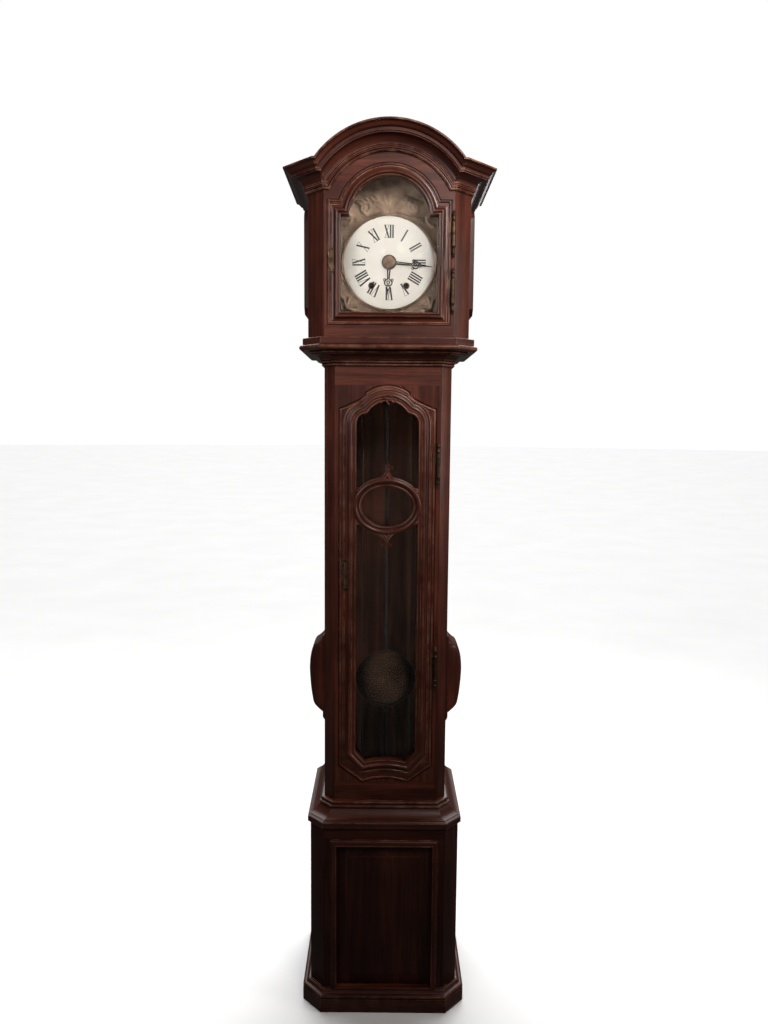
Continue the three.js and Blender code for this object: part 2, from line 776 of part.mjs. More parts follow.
function corniceArch(mitreFoot, mitreHead) {
  const inner = archRadius - corniceHeight;
  const spread = Math.atan2(mitreFoot.x, mitreFoot.y - archZ) + 0.06;
  const steps = 22;
  const stations = [];
  for (let i = 0; i <= steps; i++) {
    const angle = spread * (2 * i / steps - 1);
    const up = new THREE.Vector3(Math.sin(angle), 0, Math.cos(angle));
    stations.push({
      at: up.clone().multiplyScalar(inner).add(new THREE.Vector3(0, hoodFrontY, archZ)),
      out: new THREE.Vector3(0, -1, 0),
      up,
    });
  }
  const slope = mitreHead.clone().sub(mitreFoot);
  const low = mitreFoot.clone().sub(slope);
  const high = mitreHead.clone().add(slope);
  const far = hoodHalf + corniceProjection + 10;
  const waste = thicken(
    polygon([[low.x, low.y], [far, low.y], [far, high.y], [high.x, high.y]]),
    hoodFrontY - corniceProjection - 1, hoodFrontY,
  );
  return cut(carry(corniceProfile, stations), waste, mirrored(waste));
}

function hoodCornice() {
  const inner = archRadius - corniceHeight;
  const footX = Math.sqrt(inner ** 2 - (corniceZ - archZ) ** 2);
  const mitreFoot = new THREE.Vector2(footX, corniceZ);
  const mitreHead = new THREE.Vector2(archHalf, shoulderZ);
  const right = corniceReturn(mitreFoot, mitreHead);
  return joined(corniceArch(mitreFoot, mitreHead), right, mirrored(right));
}

function hoodDoorFrame() {
  const front = hoodFrontY - beadProud;
  return cut(
    joined(
      thicken(hoodDoorOutline(0), hoodFrontY, hoodBackFace, 20),
      thicken(hoodSight(beadWidth), front, hoodFrontY + 1, 20),
    ),
    thicken(hoodSight(0), front - 1, hoodBackFace + 1, 20),
  );
}

add('hood_front_frame', hoodFrontFrame(), walnut);
addPair(
  'hood_corner',
  cornerPost(hoodHalf, hoodFrontY, hoodCant, hoodFootZ + gap, hoodBoardTop),
  walnut,
);
addPair('hood_side', hoodSide(), walnut);
add('hood_roof', hoodRoof(), carcassWood);
add('hood_cornice', hoodCornice(), walnut);
add('hood_door_frame', hoodDoorFrame(), walnut);
add('hood_door_glass', paneIn(hoodSight(0), hoodFrontY), pane);

// ---------------------------------------------------------------- hinges and escutcheons
// One barrel hinge on a door's right edge: the upper knuckle and its leaf go with the door,
// the lower one with the frame.
function hinge(name, radius, length, middleZ, faceY, doorEdge, frameEdge) {
  const axisX = (doorEdge + doorClearance + frameEdge) / 2;
  const axisY = faceY - gap - radius;
  const leafY = faceY - gap - leafThickness;
  const top = middleZ + length / 2;
  const foot = middleZ - length / 2;
  const doorLeaf = block(doorEdge - 8, axisX, leafY, faceY - gap, middleZ + 4, top - 4);
  const frameLeaf = block(
    doorEdge + doorClearance + 0.5, frameEdge - 0.5, leafY, faceY - gap, foot + 4, middleZ - 4,
  );
  const upper = rodZ(radius, axisX, axisY, middleZ + gap / 2, top);
  const lower = rodZ(radius, axisX, axisY, foot, middleZ - gap / 2);
  add(`${name}_knuckle`, joined(upper, doorLeaf), bronze);
  add(`${name}_pintle`, joined(lower, frameLeaf), bronze);
}

const hoodHingeZ = [hoodDoorFootZ + 85, hoodDoorFootZ + 227];
const trunkHingeZ = [doorCornerZ + 285, doorEarZ - 148];
const hoodHinge = [hoodFrontY, hoodDoorHalf, hoodFrontHalf];
const trunkHinge = [trunkFrontY, doorHalf, trunkFrontHalf];
hinge('hood_hinge_lower', hoodHingeRadius, hoodHingeLength, hoodHingeZ[0], ...hoodHinge);
hinge('hood_hinge_upper', hoodHingeRadius, hoodHingeLength, hoodHingeZ[1], ...hoodHinge);
hinge('trunk_hinge_lower', trunkHingeRadius, trunkHingeLength, trunkHingeZ[0], ...trunkHinge);
hinge('trunk_hinge_upper', trunkHingeRadius, trunkHingeLength, trunkHingeZ[1], ...trunkHinge);

// A scalloped keyhole plate.
function escutcheon(x, z, width, height, faceY) {
  const shape = new THREE.Shape();
  const steps = 28;
  for (let i = 0; i < steps; i++) {
    const angle = 2 * Math.PI * i / steps;
    const wave = 1 - 0.16 * Math.cos(4 * angle);
    const px = x + width / 2 * Math.sin(angle) * wave / 1.16;
    const pz = z + height / 2 * Math.cos(angle);
    if (i === 0) shape.moveTo(px, pz);
    else shape.lineTo(px, pz);
  }
  return thicken(shape, faceY - gap - leafThickness, faceY - gap);
}

const hoodKeyX = -(hoodDoorHalf + hoodDoorHalf - hoodDoorSightStile + beadWidth) / 2;
const trunkKeyX = -(doorHalf + sightHalf + beadWidth) / 2;
add('hood_door_escutcheon', escutcheon(hoodKeyX, dialZ - 5, 20, 70, hoodFrontY), bronze);
add('trunk_door_escutcheon', escutcheon(trunkKeyX, doorEarZ - 450, 24, 96, trunkFrontY), bronze);

// ---------------------------------------------------------------- dial and hands
const surroundBackY = dialY + surroundThickness;
const enamelFrontY = dialY - 4;

function dialHoles(extra) {
  const front = enamelFrontY - 1;
  const back = surroundBackY + 1;
  return [
    rodY(centreHoleRadius + extra, 0, dialZ, front, back),
    rodY(windingHoleRadius + extra, windingX, drumZ, front, back),
    rodY(windingHoleRadius + extra, -windingX, drumZ, front, back),
  ];
}

function dialSurround() {
  const footZ = dialZ - surroundFoot;
  const archCentre = dialZ + surroundArchRise;
  const shape = earedArch(surroundHalf, footZ, archCentre, archCentre, surroundArchRadius);
  return cut(thicken(shape, dialY, surroundBackY, 20), ...dialHoles(1));
}

function enamelDial() {
  const disc = rodY(dialRadius, 0, dialZ, enamelFrontY, dialY - gap, 64);
  return cut(disc, ...dialHoles(0));
}

// A flat hand that points up from the dial centre: a boss, an open loop and a tapering blade.
function hand(length, bossRadius, loopRadius, blade, holeRadius) {
  const shape = new THREE.Shape();
  const loopZ = length * 0.5;
  shape.moveTo(-blade, 0);
  shape.lineTo(blade, 0);
  shape.lineTo(blade, loopZ - loopRadius);
  shape.lineTo(loopRadius, loopZ);
  shape.lineTo(blade, loopZ + loopRadius);
  shape.lineTo(0.6, length);
  shape.lineTo(-0.6, length);
  shape.lineTo(-blade, loopZ + loopRadius);
  shape.lineTo(-loopRadius, loopZ);
  shape.lineTo(-blade, loopZ - loopRadius);
  const opening = new THREE.Shape();
  opening.absarc(0, loopZ, loopRadius * 0.5, 0, Math.PI * 2, false);
  const thickness = 1.6;
  return {
    blank: joined(thicken(shape, -thickness, 0, 6), rodY(bossRadius, 0, 0, -thickness, 0, 28)),
    openings: [
      thicken(opening, -thickness - 1, 1, 6),
      ...(holeRadius > 0 ? [rodY(holeRadius, 0, 0, -thickness - 1, 1)] : []),
    ],
  };
}

function placed(geometry, angle, y) {
  return geometry.rotateY(THREE.MathUtils.degToRad(angle)).translate(0, y, dialZ);
}

function hourHand() {
  const { blank, openings } = hand(hourLength, 19, 8, 3, minuteArborRadius + arborClearance);
  const pipe = cut(
    rodY(6, 0, 0, -1, 17.5),
    rodY(minuteArborRadius + arborClearance, 0, 0, -2, 19),
  );
  return placed(joined(cut(blank, ...openings), pipe), hourAngle, enamelFrontY - 2.5);
}

function minuteHand() {
  const { blank, openings } = hand(minuteLength, 8, 7, 2.4, 0);
  const arbor = rodY(minuteArborRadius, 0, 0, -3.5, cageY + 8 - enamelFrontY + 6);
  return placed(joined(cut(blank, ...openings), arbor), minuteAngle, enamelFrontY - 6);
}

add('dial_surround', dialSurround(), embossed);
add('enamel_dial', enamelDial(), enamel);
add('hour_hand', hourHand(), blued);
add('minute_hand', minuteHand(), blued);

// ---------------------------------------------------------------- movement
const cageBackY = cageY + cageDepth;
const pillar = 8;
const dialFootX = 105;

function movementFrame() {
  const plates = [
    block(-cageHalf, cageHalf, cageY, cageBackY, cageZ, cageZ + plate),
    block(-cageHalf, cageHalf, cageY, cageBackY, cageTopZ - plate, cageTopZ),
  ];
  const pillars = [];
  for (const x of [-cageHalf, cageHalf - pillar]) {
    for (const y of [cageY, cageBackY - pillar]) {
      pillars.push(block(x, x + pillar, y, y + pillar, cageZ + 1, cageTopZ - 1));
    }
  }
  const straps = [];
  for (const x of [-windingX, 0, windingX]) {
    for (const y of [cageY, cageBackY - plate]) {
      const [x0, x1] = [x - strapWidth / 2, x + strapWidth / 2];
      straps.push(block(x0, x1, y, y + plate, cageZ + 1, cageTopZ - 1));
    }
  }
  const dialFeet = [];
  for (const x of [-dialFootX, dialFootX]) {
    for (const z of [cageZ + plate + 24, cageTopZ - plate - 8]) {
      dialFeet.push(rodY(3, x, z, surroundBackY + gap, cageY + 1, 10));
      const inwards = x < 0 ? -cageHalf : dialFootX - 4;
      dialFeet.push(block(inwards, inwards + cageHalf - dialFootX + 4, cageY, cageY + plate, z - 5, z + 5));
    }
  }
  const cock = block(-9, 9, pendulumY - 9, cageY + 1, pivotZ + 12, cageTopZ);
  const lug = block(82, 92, drumY + 6, drumY + 10, cageTopZ - 1, cageTopZ + 16);
  const holes = [
    rodY(minuteArborRadius + arborClearance, 0, dialZ, cageY - 1, cageY + plate + 1),
    rodY(drumArborRadius + arborClearance, windingX, drumZ, cageY - 1, cageBackY + 1),
    rodY(drumArborRadius + arborClearance, -windingX, drumZ, cageY - 1, cageBackY + 1),
    rodZ(cordHoleRadius, cordX, drumY, cageZ - 1, cageZ + plate + 1),
    rodZ(cordHoleRadius, -cordX, drumY, cageZ - 1, cageZ + plate + 1),
  ];
  return cut(joined(...plates, ...pillars, ...straps, ...dialFeet, cock, lug), ...holes);
}

function drum(x) {
  const front = drumY - drumLength / 2;
  const back = drumY + drumLength / 2;
  return joined(
    rodY(drumArborRadius, x, drumZ, dialY - 2, cageBackY - 1, 12),
    rodY(drumRadius - cordRadius - gap, x, drumZ, front, back, 28),
    rodY(drumRadius + 6, x, drumZ, front - plate, front, 28),
    rodY(drumRadius + 6, x, drumZ, back, back + plate, 28),
  );
}

function bell() {
  const r = bellRadius;
  return turned([
    [0, 0], [4, 0], [4, 50], [r * 0.5, 44], [r * 0.83, 27], [r - 3, 12], [r, 12], [r * 0.9, 31],
    [r * 0.56, 50], [7, 56], [5, 62], [0, 63],
  ], 0, drumY, cageTopZ + gap);
}

function bellHammer() {
  const x = bellRadius + 27;
  return joined(
    block(x - 3, x + 3, drumY - 2, drumY + 6 - gap, cageTopZ + 4, cageTopZ + 34),
    rodZ(1, x, drumY + 2, cageTopZ + 33, cageTopZ + 34, 6),
    block(bellRadius + 3, x, drumY - 5, drumY + 5, cageTopZ + 14, cageTopZ + 26),
  );
}

function seatBoard() {
  const half = hoodHalf - board - 1;
  const y0 = pendulumY + 25;
  return cut(
    block(-half, half, y0, backY - backBoard - 1, seatZ, seatZ + board),
    rodZ(cordHoleRadius, cordX, drumY, seatZ - 1, seatZ + board + 1),
    rodZ(cordHoleRadius, -cordX, drumY, seatZ - 1, seatZ + board + 1),
  );
}

add('seat_board', seatBoard(), carcassWood);
add('movement_frame', movementFrame(), iron);
add('bell', bell(), brass);
add('bell_hammer', bellHammer(), iron);
add('drum_right', drum(windingX), brass);
add('drum_left', drum(-windingX), brass);

// ---------------------------------------------------------------- pendulum
const rodWidth = 8;
const rodThickness = 3;
const ringRadius = 13;

function pendulumRod() {
  const y0 = pendulumY - rodThickness / 2;
  const y1 = pendulumY + rodThickness / 2;
  return cut(
    joined(
      block(-rodWidth / 2, rodWidth / 2, y0, y1, bobZ + bobRadius * 0.6, pivotZ + 6),
      rodY(ringRadius, 0, dialZ, y0, y1, 24),
    ),
    rodY(ringRadius - 3, 0, dialZ, y0 - 1, y1 + 1, 24),
  );
}

// A lens-shaped disc with a slot at its head for the rod.
function pendulumBob() {
  const half = bobThickness / 2;
  const profile = [
    [0, -half], [bobRadius * 0.45, -half * 0.86], [bobRadius * 0.8, -half * 0.5],
    [bobRadius - 4, -3.5], [bobRadius, -1.5], [bobRadius, 1.5], [bobRadius - 4, 3.5],
    [bobRadius * 0.8, half * 0.5], [bobRadius * 0.45, half * 0.86], [0, half],
  ].map(([r, h]) => new THREE.Vector2(r, h));
  const lens = new THREE.LatheGeometry(profile, 40).translate(0, pendulumY, bobZ);
  const slot = block(
    -rodWidth / 2 - gap, rodWidth / 2 + gap,
    pendulumY - rodThickness / 2 - gap, pendulumY + rodThickness / 2 + gap,
    bobZ + bobRadius * 0.6 - gap, bobZ + bobRadius + 1,
  );
  return cut(lens, slot);
}

function ratingNut() {
  const top = bobZ - bobRadius - gap;
  return turned([
    [0, -20], [3, -20], [3, -12], [8, -11], [8, -5], [3, -4], [3, -0.2], [0, -0.2],
  ], 0, pendulumY, top, 12);
}

add('pendulum_rod', pendulumRod(), steel);
add('pendulum_bob', pendulumBob(), brass);
add('rating_nut', ratingNut(), brass);

// ---------------------------------------------------------------- weights and cords
function weight() {
  return turned([
    [0, 0], [weightRadius - 3, 0], [weightRadius, 3], [weightRadius, weightHeight - 8],
    [weightRadius - 8, weightHeight], [4, weightHeight], [3.5, weightHeight + hookHeight],
    [0, weightHeight + hookHeight],
  ], cordX, drumY, weightFloor, 28);
}

function weightCord() {
  return rodZ(cordRadius, cordX, drumY, weightTopZ + hookHeight + gap, drumZ, 8);
}

addPair('weight', weight(), iron);
addPair('weight_cord', weightCord(), hemp);

export default clock;
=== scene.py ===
"""A longcase clock: its mouldings, carving, dial, metalwork, glass and finishes, built round the frame.

Lengths here are millimetres; a mesh is scaled to metres when it is made. Front is -Y, up is +Z.
"""
import math

import bmesh
import bpy
import numpy as np
from mathutils import Matrix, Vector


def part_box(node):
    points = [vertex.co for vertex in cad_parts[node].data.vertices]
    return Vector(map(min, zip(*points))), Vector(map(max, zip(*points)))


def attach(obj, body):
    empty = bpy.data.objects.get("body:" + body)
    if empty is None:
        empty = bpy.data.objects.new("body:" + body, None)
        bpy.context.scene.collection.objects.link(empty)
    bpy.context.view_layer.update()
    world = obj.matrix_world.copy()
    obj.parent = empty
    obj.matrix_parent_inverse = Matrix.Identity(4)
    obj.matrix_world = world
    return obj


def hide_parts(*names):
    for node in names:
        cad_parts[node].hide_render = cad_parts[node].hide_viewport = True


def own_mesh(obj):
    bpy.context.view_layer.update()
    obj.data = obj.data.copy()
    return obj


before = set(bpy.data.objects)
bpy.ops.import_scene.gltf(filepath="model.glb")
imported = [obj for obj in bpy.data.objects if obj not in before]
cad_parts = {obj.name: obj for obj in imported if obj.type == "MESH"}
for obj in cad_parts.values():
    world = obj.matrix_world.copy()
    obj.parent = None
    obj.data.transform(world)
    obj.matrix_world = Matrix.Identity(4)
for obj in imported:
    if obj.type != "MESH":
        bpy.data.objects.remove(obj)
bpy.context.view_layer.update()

MM = 0.001
TAU = 2 * math.pi
GAP = 0.3                          # between pieces that touch
ROOF_BOARD = 8
ARCH_SPILL = 19.5                  # how far the arch's foot passes the edge of the front


def span(node):
    """Lowest and highest corner of a frame node, in millimetres."""
    low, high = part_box(node)
    return np.array(low) / MM, np.array(high) / MM


# ------------------------------------------------------------------ places taken from the frame
BACK_Y = span("back_board")[1][1]
HOOD_FRONT = span("hood_front_frame")[0][1]
TRUNK_FRONT = span("trunk_front_frame")[0][1]
HOOD_HALF = span("hood_roof")[1][0] + GAP
TRUNK_HALF = span("trunk_side_right")[1][0]
BASE_HALF = span("base_side_right")[1][0]
HOOD_FRONT_HALF = span("hood_corner_right")[0][0] - GAP
TRUNK_FRONT_HALF = span("trunk_corner_right")[0][0] - GAP
BASE_FRONT_HALF = span("base_corner_right")[0][0] - GAP
PLINTH_TOP = span("plinth_moulding")[1][2]
PLINTH_OUT = span("plinth_moulding")[1][0] - BASE_HALF
BASE_TOP, TRUNK_FOOT = span("base_top_moulding")[0][2], span("base_top_moulding")[1][2]
WAIST_Z, HOOD_FOOT = span("waist_moulding")[0][2], span("waist_moulding")[1][2]
APEX_Z = span("hood_roof")[1][2]
SHOULDER_Z = span("hood_roof")[0][2] + ROOF_BOARD
CORNICE_OUT = span("hood_cornice")[1][0] - HOOD_HALF
CORNICE_Z = SHOULDER_Z - CORNICE_OUT
ARCH_HALF = HOOD_FRONT_HALF + ARCH_SPILL
ARCH_RISE = APEX_Z - SHOULDER_Z
ARCH_R = (ARCH_HALF ** 2 + ARCH_RISE ** 2) / (2 * ARCH_RISE)
ARCH_Z = APEX_Z - ARCH_R
DIAL_LOW, DIAL_HIGH = span("enamel_dial")
DIAL_Z = (DIAL_LOW[2] + DIAL_HIGH[2]) / 2
DIAL_R = (DIAL_HIGH[2] - DIAL_LOW[2]) / 2
WINDING_X = sum(span("drum_right")[i][0] for i in (0, 1)) / 2
WINDING_Z = sum(span("drum_right")[i][2] for i in (0, 1)) / 2


# ------------------------------------------------------------------ shader helpers
class Paint:
    """Adds shader nodes to one material and links them."""

    def __init__(self, name):
        """A new material, with a Principled shader to build on."""
        self.material = bpy.data.materials.new(name)
        self.material.use_nodes = True
        self.tree = self.material.node_tree
        self.shader = self.tree.nodes["Principled BSDF"]

    def feed(self, node, inputs):
        """Sets a node's inputs: an output of another node is linked, a plain value is stored."""
        for socket, value in inputs.items():
            if isinstance(value, bpy.types.NodeSocket):
                self.tree.links.new(value, node.inputs[socket])
            else:
                node.inputs[socket].default_value = value
        return node

    def node(self, kind, inputs=None, **settings):
        """A new node with its settings, and its inputs fed."""
        made = self.tree.nodes.new("ShaderNode" + kind)
        for key, value in settings.items():
            setattr(made, key, value)
        return self.feed(made, inputs or {})

    def place(self, source, scale):
        """Object or UV coordinates, stretched by scale along each axis."""
        coordinates = self.node("TexCoord")
        mapping = self.node("Mapping", {"Vector": coordinates.outputs[source], "Scale": scale})
        return mapping.outputs["Vector"]

    def noise(self, vector, scale, detail=6.0, roughness=0.55, distortion=0.0):
        """Fractal noise from 0 to 1 at a place in space."""
        made = self.node("TexNoise", {
            "Vector": vector, "Scale": scale, "Detail": detail,
            "Roughness": roughness, "Distortion": distortion,
        })
        return made.outputs["Fac"]

    def ramp(self, factor, stops):
        """A colour that blends from stop to stop as the factor rises."""
        made = self.node("ValToRGB", {"Fac": factor})
        elements = made.color_ramp.elements
        while len(elements) < len(stops):
            elements.new(0.5)
        for element, (position, colour) in zip(elements, stops):
            element.position = position
            element.color = colour if len(colour) == 4 else (*colour, 1)
        return made.outputs["Color"]

    def mix(self, factor, first, second, blend="MIX"):
        """Two colours mixed by a factor, or multiplied."""
        made = self.node("Mix", data_type="RGBA", blend_type=blend)
        self.feed(made, {0: factor, 6: first, 7: second})
        return made.outputs[2]

    def choose(self, factor, first, second):
        """The first vector where the factor is 0, the second where it is 1."""
        made = self.node("Mix", data_type="VECTOR")
        self.feed(made, {0: factor, 4: first, 5: second})
        return made.outputs[1]

    def outside(self, heights):
        """1 below the lower height and above the upper one, in object space, and 0 between."""
        z = self.node("SeparateXYZ", {"Vector": self.node("TexCoord").outputs["Object"]}).outputs["Z"]
        below = self.node("Math", {0: z, 1: heights[0]}, operation="LESS_THAN").outputs[0]
        above = self.node("Math", {0: z, 1: heights[1]}, operation="GREATER_THAN").outputs[0]
        return self.node("Math", {0: below, 1: above}, operation="MAXIMUM").outputs[0]

    def spread(self, factor, low, high):
        """Carries a factor from 0 to 1 onto the span from low to high."""
        made = self.node("MapRange", {"Value": factor, "To Min": low, "To Max": high})
        return made.outputs["Result"]

    def bump(self, height, strength, distance):
        """Tilts the shading by the slope of a height; distance is in metres."""
        made = self.node("Bump", {"Height": height, "Strength": strength, "Distance": distance})
        self.feed(self.shader, {"Normal": made.outputs["Normal"]})

    def finish(self, **inputs):
        """Sets the shader's inputs by name, and hands over the material."""
        self.feed(self.shader, {key.replace("_", " "): value for key, value in inputs.items()})
        return self.material


def grey(value):
    """A grey: red, green and blue alike."""
    return (value, value, value)


GRAIN_SOURCE = {"x": "Object", "y": "Object", "z": "Object", "uv": "UV"}
GRAIN_SCALE = {"x": (1.5, 27, 27), "y": (27, 1.5, 27), "z": (27, 27, 1.5), "uv": (1.5, 27, 27)}
PORE_SCALE = {
    "x": (9, 420, 420), "y": (420, 9, 420), "z": (420, 420, 9), "uv": (9, 420, 420),
}
WALNUT = ((0.010, 0.0022, 0.0012), (0.036, 0.0086, 0.0048), (0.085, 0.0235, 0.0130), (0.16, 0.055, 0.031))
# A darker copy of the walnut tones: painted shade, for the base, which stands in shadow, and for the side
# boards.
SHADED_WALNUT = ((0.006, 0.0014, 0.0009), (0.019, 0.0046, 0.0028), (0.044, 0.0120, 0.0070), (0.08, 0.026, 0.015))
CARCASS = ((0.022, 0.0065, 0.0035), (0.055, 0.017, 0.0092), (0.105, 0.036, 0.020), (0.17, 0.066, 0.038))
# Light tone for convex moulding edges: partly rubbed wear, partly painted highlight.
EDGE_WEAR_AND_HIGHLIGHT = (0.34, 0.17, 0.105)


def wood(name, along, tones, gloss=0.36, coat=0.07, rubbed=0.0, rails=None):
    """Waxed timber: stretched noise for the grain along one direction, fine dark pores, a broad
    red and brown mottle, wax that is duller in the pores, and a slight coat. Below and above the
    two heights in rails, in metres, the boards lie across and so does their grain."""
    paint = Paint(name)
    across = paint.outside(rails) if rails else None

    def stretched(table, share):
        """Noise space drawn out along the grain, and turned level outside the rails."""
        upright = paint.place(GRAIN_SOURCE[along], tuple(s * share for s in table[along]))
        if across is None:
            return upright
        level = paint.place("Object", tuple(s * share for s in table["x"]))
        return paint.choose(across, upright, level)

    grain = paint.noise(stretched(GRAIN_SCALE, 1.0), 1.0, 9.0, 0.60, 1.1)
    figure = paint.noise(stretched(GRAIN_SCALE, 0.3), 1.0, 4.0, 0.5, 2.0)
    pores = paint.noise(stretched(PORE_SCALE, 1.0), 1.0, 3.0, 0.6)
    mottle = paint.noise(paint.place("Object", (1, 1, 1)), 7.0, 4.0, 0.6)
    stops = [(0.26, tones[0]), (0.44, tones[1]), (0.61, tones[2]), (0.84, tones[3])]
    colour = paint.ramp(paint.mix(0.4, grain, figure), stops)
    shade = paint.ramp(mottle, [(0.34, (0.70, 0.62, 0.58)), (0.62, (1.12, 1.0, 0.96))])
    colour = paint.mix(0.8, colour, shade, "MULTIPLY")
    pits = paint.ramp(pores, [(0.36, grey(0.42)), (0.50, grey(1.0))])
    colour = paint.mix(0.75, colour, pits, "MULTIPLY")
    wear = paint.noise(paint.place("Object", (1, 1, 1)), 26.0, 5.0, 0.7)
    if rubbed:
        bend = paint.node("NewGeometry").outputs["Pointiness"]
        # Painted shade: concave grooves, where the pointiness is low, are darkened.
        painted_hollow_shade = paint.ramp(bend, [(0.40, grey(0.15)), (0.492, grey(1))])
        colour = paint.mix(1.0, colour, painted_hollow_shade, "MULTIPLY")
        # Convex edges, where the pointiness is high, are lightened in noisy patches: partly rubbed wear,
        # partly painted highlight.
        edges = paint.ramp(bend, [(0.52, grey(0)), (0.595, grey(1))])
        patches = paint.ramp(wear, [(0.42, grey(0)), (0.66, grey(rubbed))])
        colour = paint.mix(paint.mix(1.0, edges, patches, "MULTIPLY"), colour, EDGE_WEAR_AND_HIGHLIGHT + (1,))
    paint.bump(paint.mix(0.55, pits, grain), 0.35, 0.0006)
    return paint.finish(
        Base_Color=colour, Roughness=paint.spread(wear, gloss - 0.1, gloss + 0.2),
        Coat_Weight=coat, Coat_Roughness=0.2, Specular_IOR_Level=0.15,
    )


def planks(name, width):
    """Rough back boards: upright grain, a different tone for each board across the width, and a
    dark open joint between boards."""
    paint = Paint(name)
    x = paint.node("SeparateXYZ", {"Vector": paint.node("TexCoord").outputs["Object"]}).outputs["X"]
    count = paint.node("Math", {0: x, 1: width}, operation="DIVIDE").outputs[0]
    board = paint.node("Math", {0: count}, operation="FLOOR").outputs[0]
    tone = paint.node("TexWhiteNoise", {"W": board}, noise_dimensions="1D").outputs["Value"]
    joint = paint.node("Math", {0: count, 1: 0.5}, operation="PINGPONG").outputs[0]
    joint = paint.ramp(joint, [(0.0, grey(0.05)), (0.014, grey(1))])
    grain = paint.noise(paint.place("Object", GRAIN_SCALE["z"]), 1.0, 9.0, 0.62, 1.1)
    stops = [(0.26, CARCASS[0]), (0.44, CARCASS[1]), (0.61, CARCASS[2]), (0.84, CARCASS[3])]
    colour = paint.mix(1.0, paint.ramp(grain, stops), joint, "MULTIPLY")
    shade = paint.ramp(tone, [(0.0, grey(1.25)), (1.0, grey(2.0))])
    colour = paint.mix(1.0, colour, shade, "MULTIPLY")
    paint.bump(paint.mix(0.3, joint, grain), 0.5, 0.001)
    return paint.finish(Base_Color=colour, Roughness=0.68, Specular_IOR_Level=0.12)


def metal(name, bright, dull, rough, patina=0.5, scale=38.0, bump=0.2):
    """Old metal: a bright colour where rubbed, a dull patina in cloudy patches, uneven gloss."""
    paint = Paint(name)
    place = paint.place("Object", (1, 1, 1))
    clouds = paint.noise(place, scale, 7.0, 0.65)
    fine = paint.noise(place, scale * 14, 3.0, 0.6)
    cut = paint.ramp(clouds, [(0.5 - 0.3 * patina, grey(0)), (0.5 + 0.3 * patina, grey(1))])
    colour = paint.mix(cut, bright + (1,), dull + (1,))
    paint.bump(fine, bump, 0.0003)
    return paint.finish(
        Base_Color=colour, Metallic=1.0, Roughness=paint.spread(clouds, rough - 0.1, rough + 0.22),
    )


def enamel_paint():
    """Vitreous enamel: warm white with faint clouding and a thin glassy coat."""
    paint = Paint("enamel")
    place = paint.place("Object", (1, 1, 1))
    clouds = paint.noise(place, 14.0, 5.0, 0.6)
    colour = paint.ramp(clouds, [(0.3, (0.83, 0.745, 0.665)), (0.7, (0.92, 0.85, 0.78))])
    paint.bump(paint.noise(place, 60.0, 2.0), 0.05, 0.0006)
    return paint.finish(
        Base_Color=colour, Roughness=paint.spread(clouds, 0.2, 0.32), Coat_Weight=0.5,
        Coat_Roughness=0.08,
    )


def ink_paint():
    """Fired black enamel for the numerals, slightly uneven."""
    paint = Paint("numeral_enamel")
    clouds = paint.noise(paint.place("Object", (1, 1, 1)), 160.0, 3.0)
    colour = paint.ramp(clouds, [(0.3, (0.012, 0.011, 0.012)), (0.7, (0.035, 0.032, 0.032))])
    return paint.finish(Base_Color=colour, Roughness=0.35)


def glass_paint():
    """Old clear glass: a very faint ripple and a slight smoky tint."""
    paint = Paint("glass")
    ripple = paint.noise(paint.place("Object", (1, 1, 0.4)), 9.0, 2.0)
    paint.bump(ripple, 0.04, 0.002)
    return paint.finish(
        Base_Color=(0.93, 0.95, 0.94, 1), Roughness=0.015, Transmission_Weight=1.0, IOR=1.13,
    )


def rope_paint():
    """Laid cord: slanting strands across the tube's own map, in straw and brown."""
    paint = Paint("hemp")
    place = paint.place("UV", (260.0, 3.0, 1.0))
    strands = paint.node("TexWave", {
        "Vector": place, "Scale": 1.0, "Distortion": 0.6, "Detail": 1.0,
    }, wave_type="BANDS", bands_direction="DIAGONAL").outputs["Fac"]
    colour = paint.ramp(strands, [(0.1, (0.03, 0.02, 0.012)), (0.7, (0.12, 0.085, 0.05))])
    paint.bump(strands, 0.7, 0.0006)
    return paint.finish(Base_Color=colour, Roughness=0.85)


def floor_paint():
    """Pale studio floor with hardly visible unevenness."""
    paint = Paint("studio_floor")
    clouds = paint.noise(paint.place("Object", (1, 1, 1)), 1.5, 3.0)
    colour = paint.ramp(clouds, [(0.3, grey(0.86)), (0.7, grey(0.90))])
    return paint.finish(Base_Color=colour, Roughness=0.7)


def heights(node, margin=0.0):
    """The lowest and highest point of a node, in metres, with a margin in millimetres."""
    low, high = span(node)
    return (low[2] - margin) * MM, (high[2] + margin) * MM


# Each frame's boards stand upright between two heights, in metres; its rails lie beyond them.
PANE_PLAY = 0.45
RAILS = {
    "hood": (heights("hood_door_frame")[0], 2.2),
    "hood_door": (heights("hood_door_glass", PANE_PLAY)[0], 2.3),
    "trunk": heights("trunk_door_frame"),
    "trunk_door": (
        heights("trunk_door_glass_lower", PANE_PLAY)[0],
        heights("trunk_door_glass_upper", PANE_PLAY)[1],
    ),
    "base": heights("base_front_panel", GAP),
}

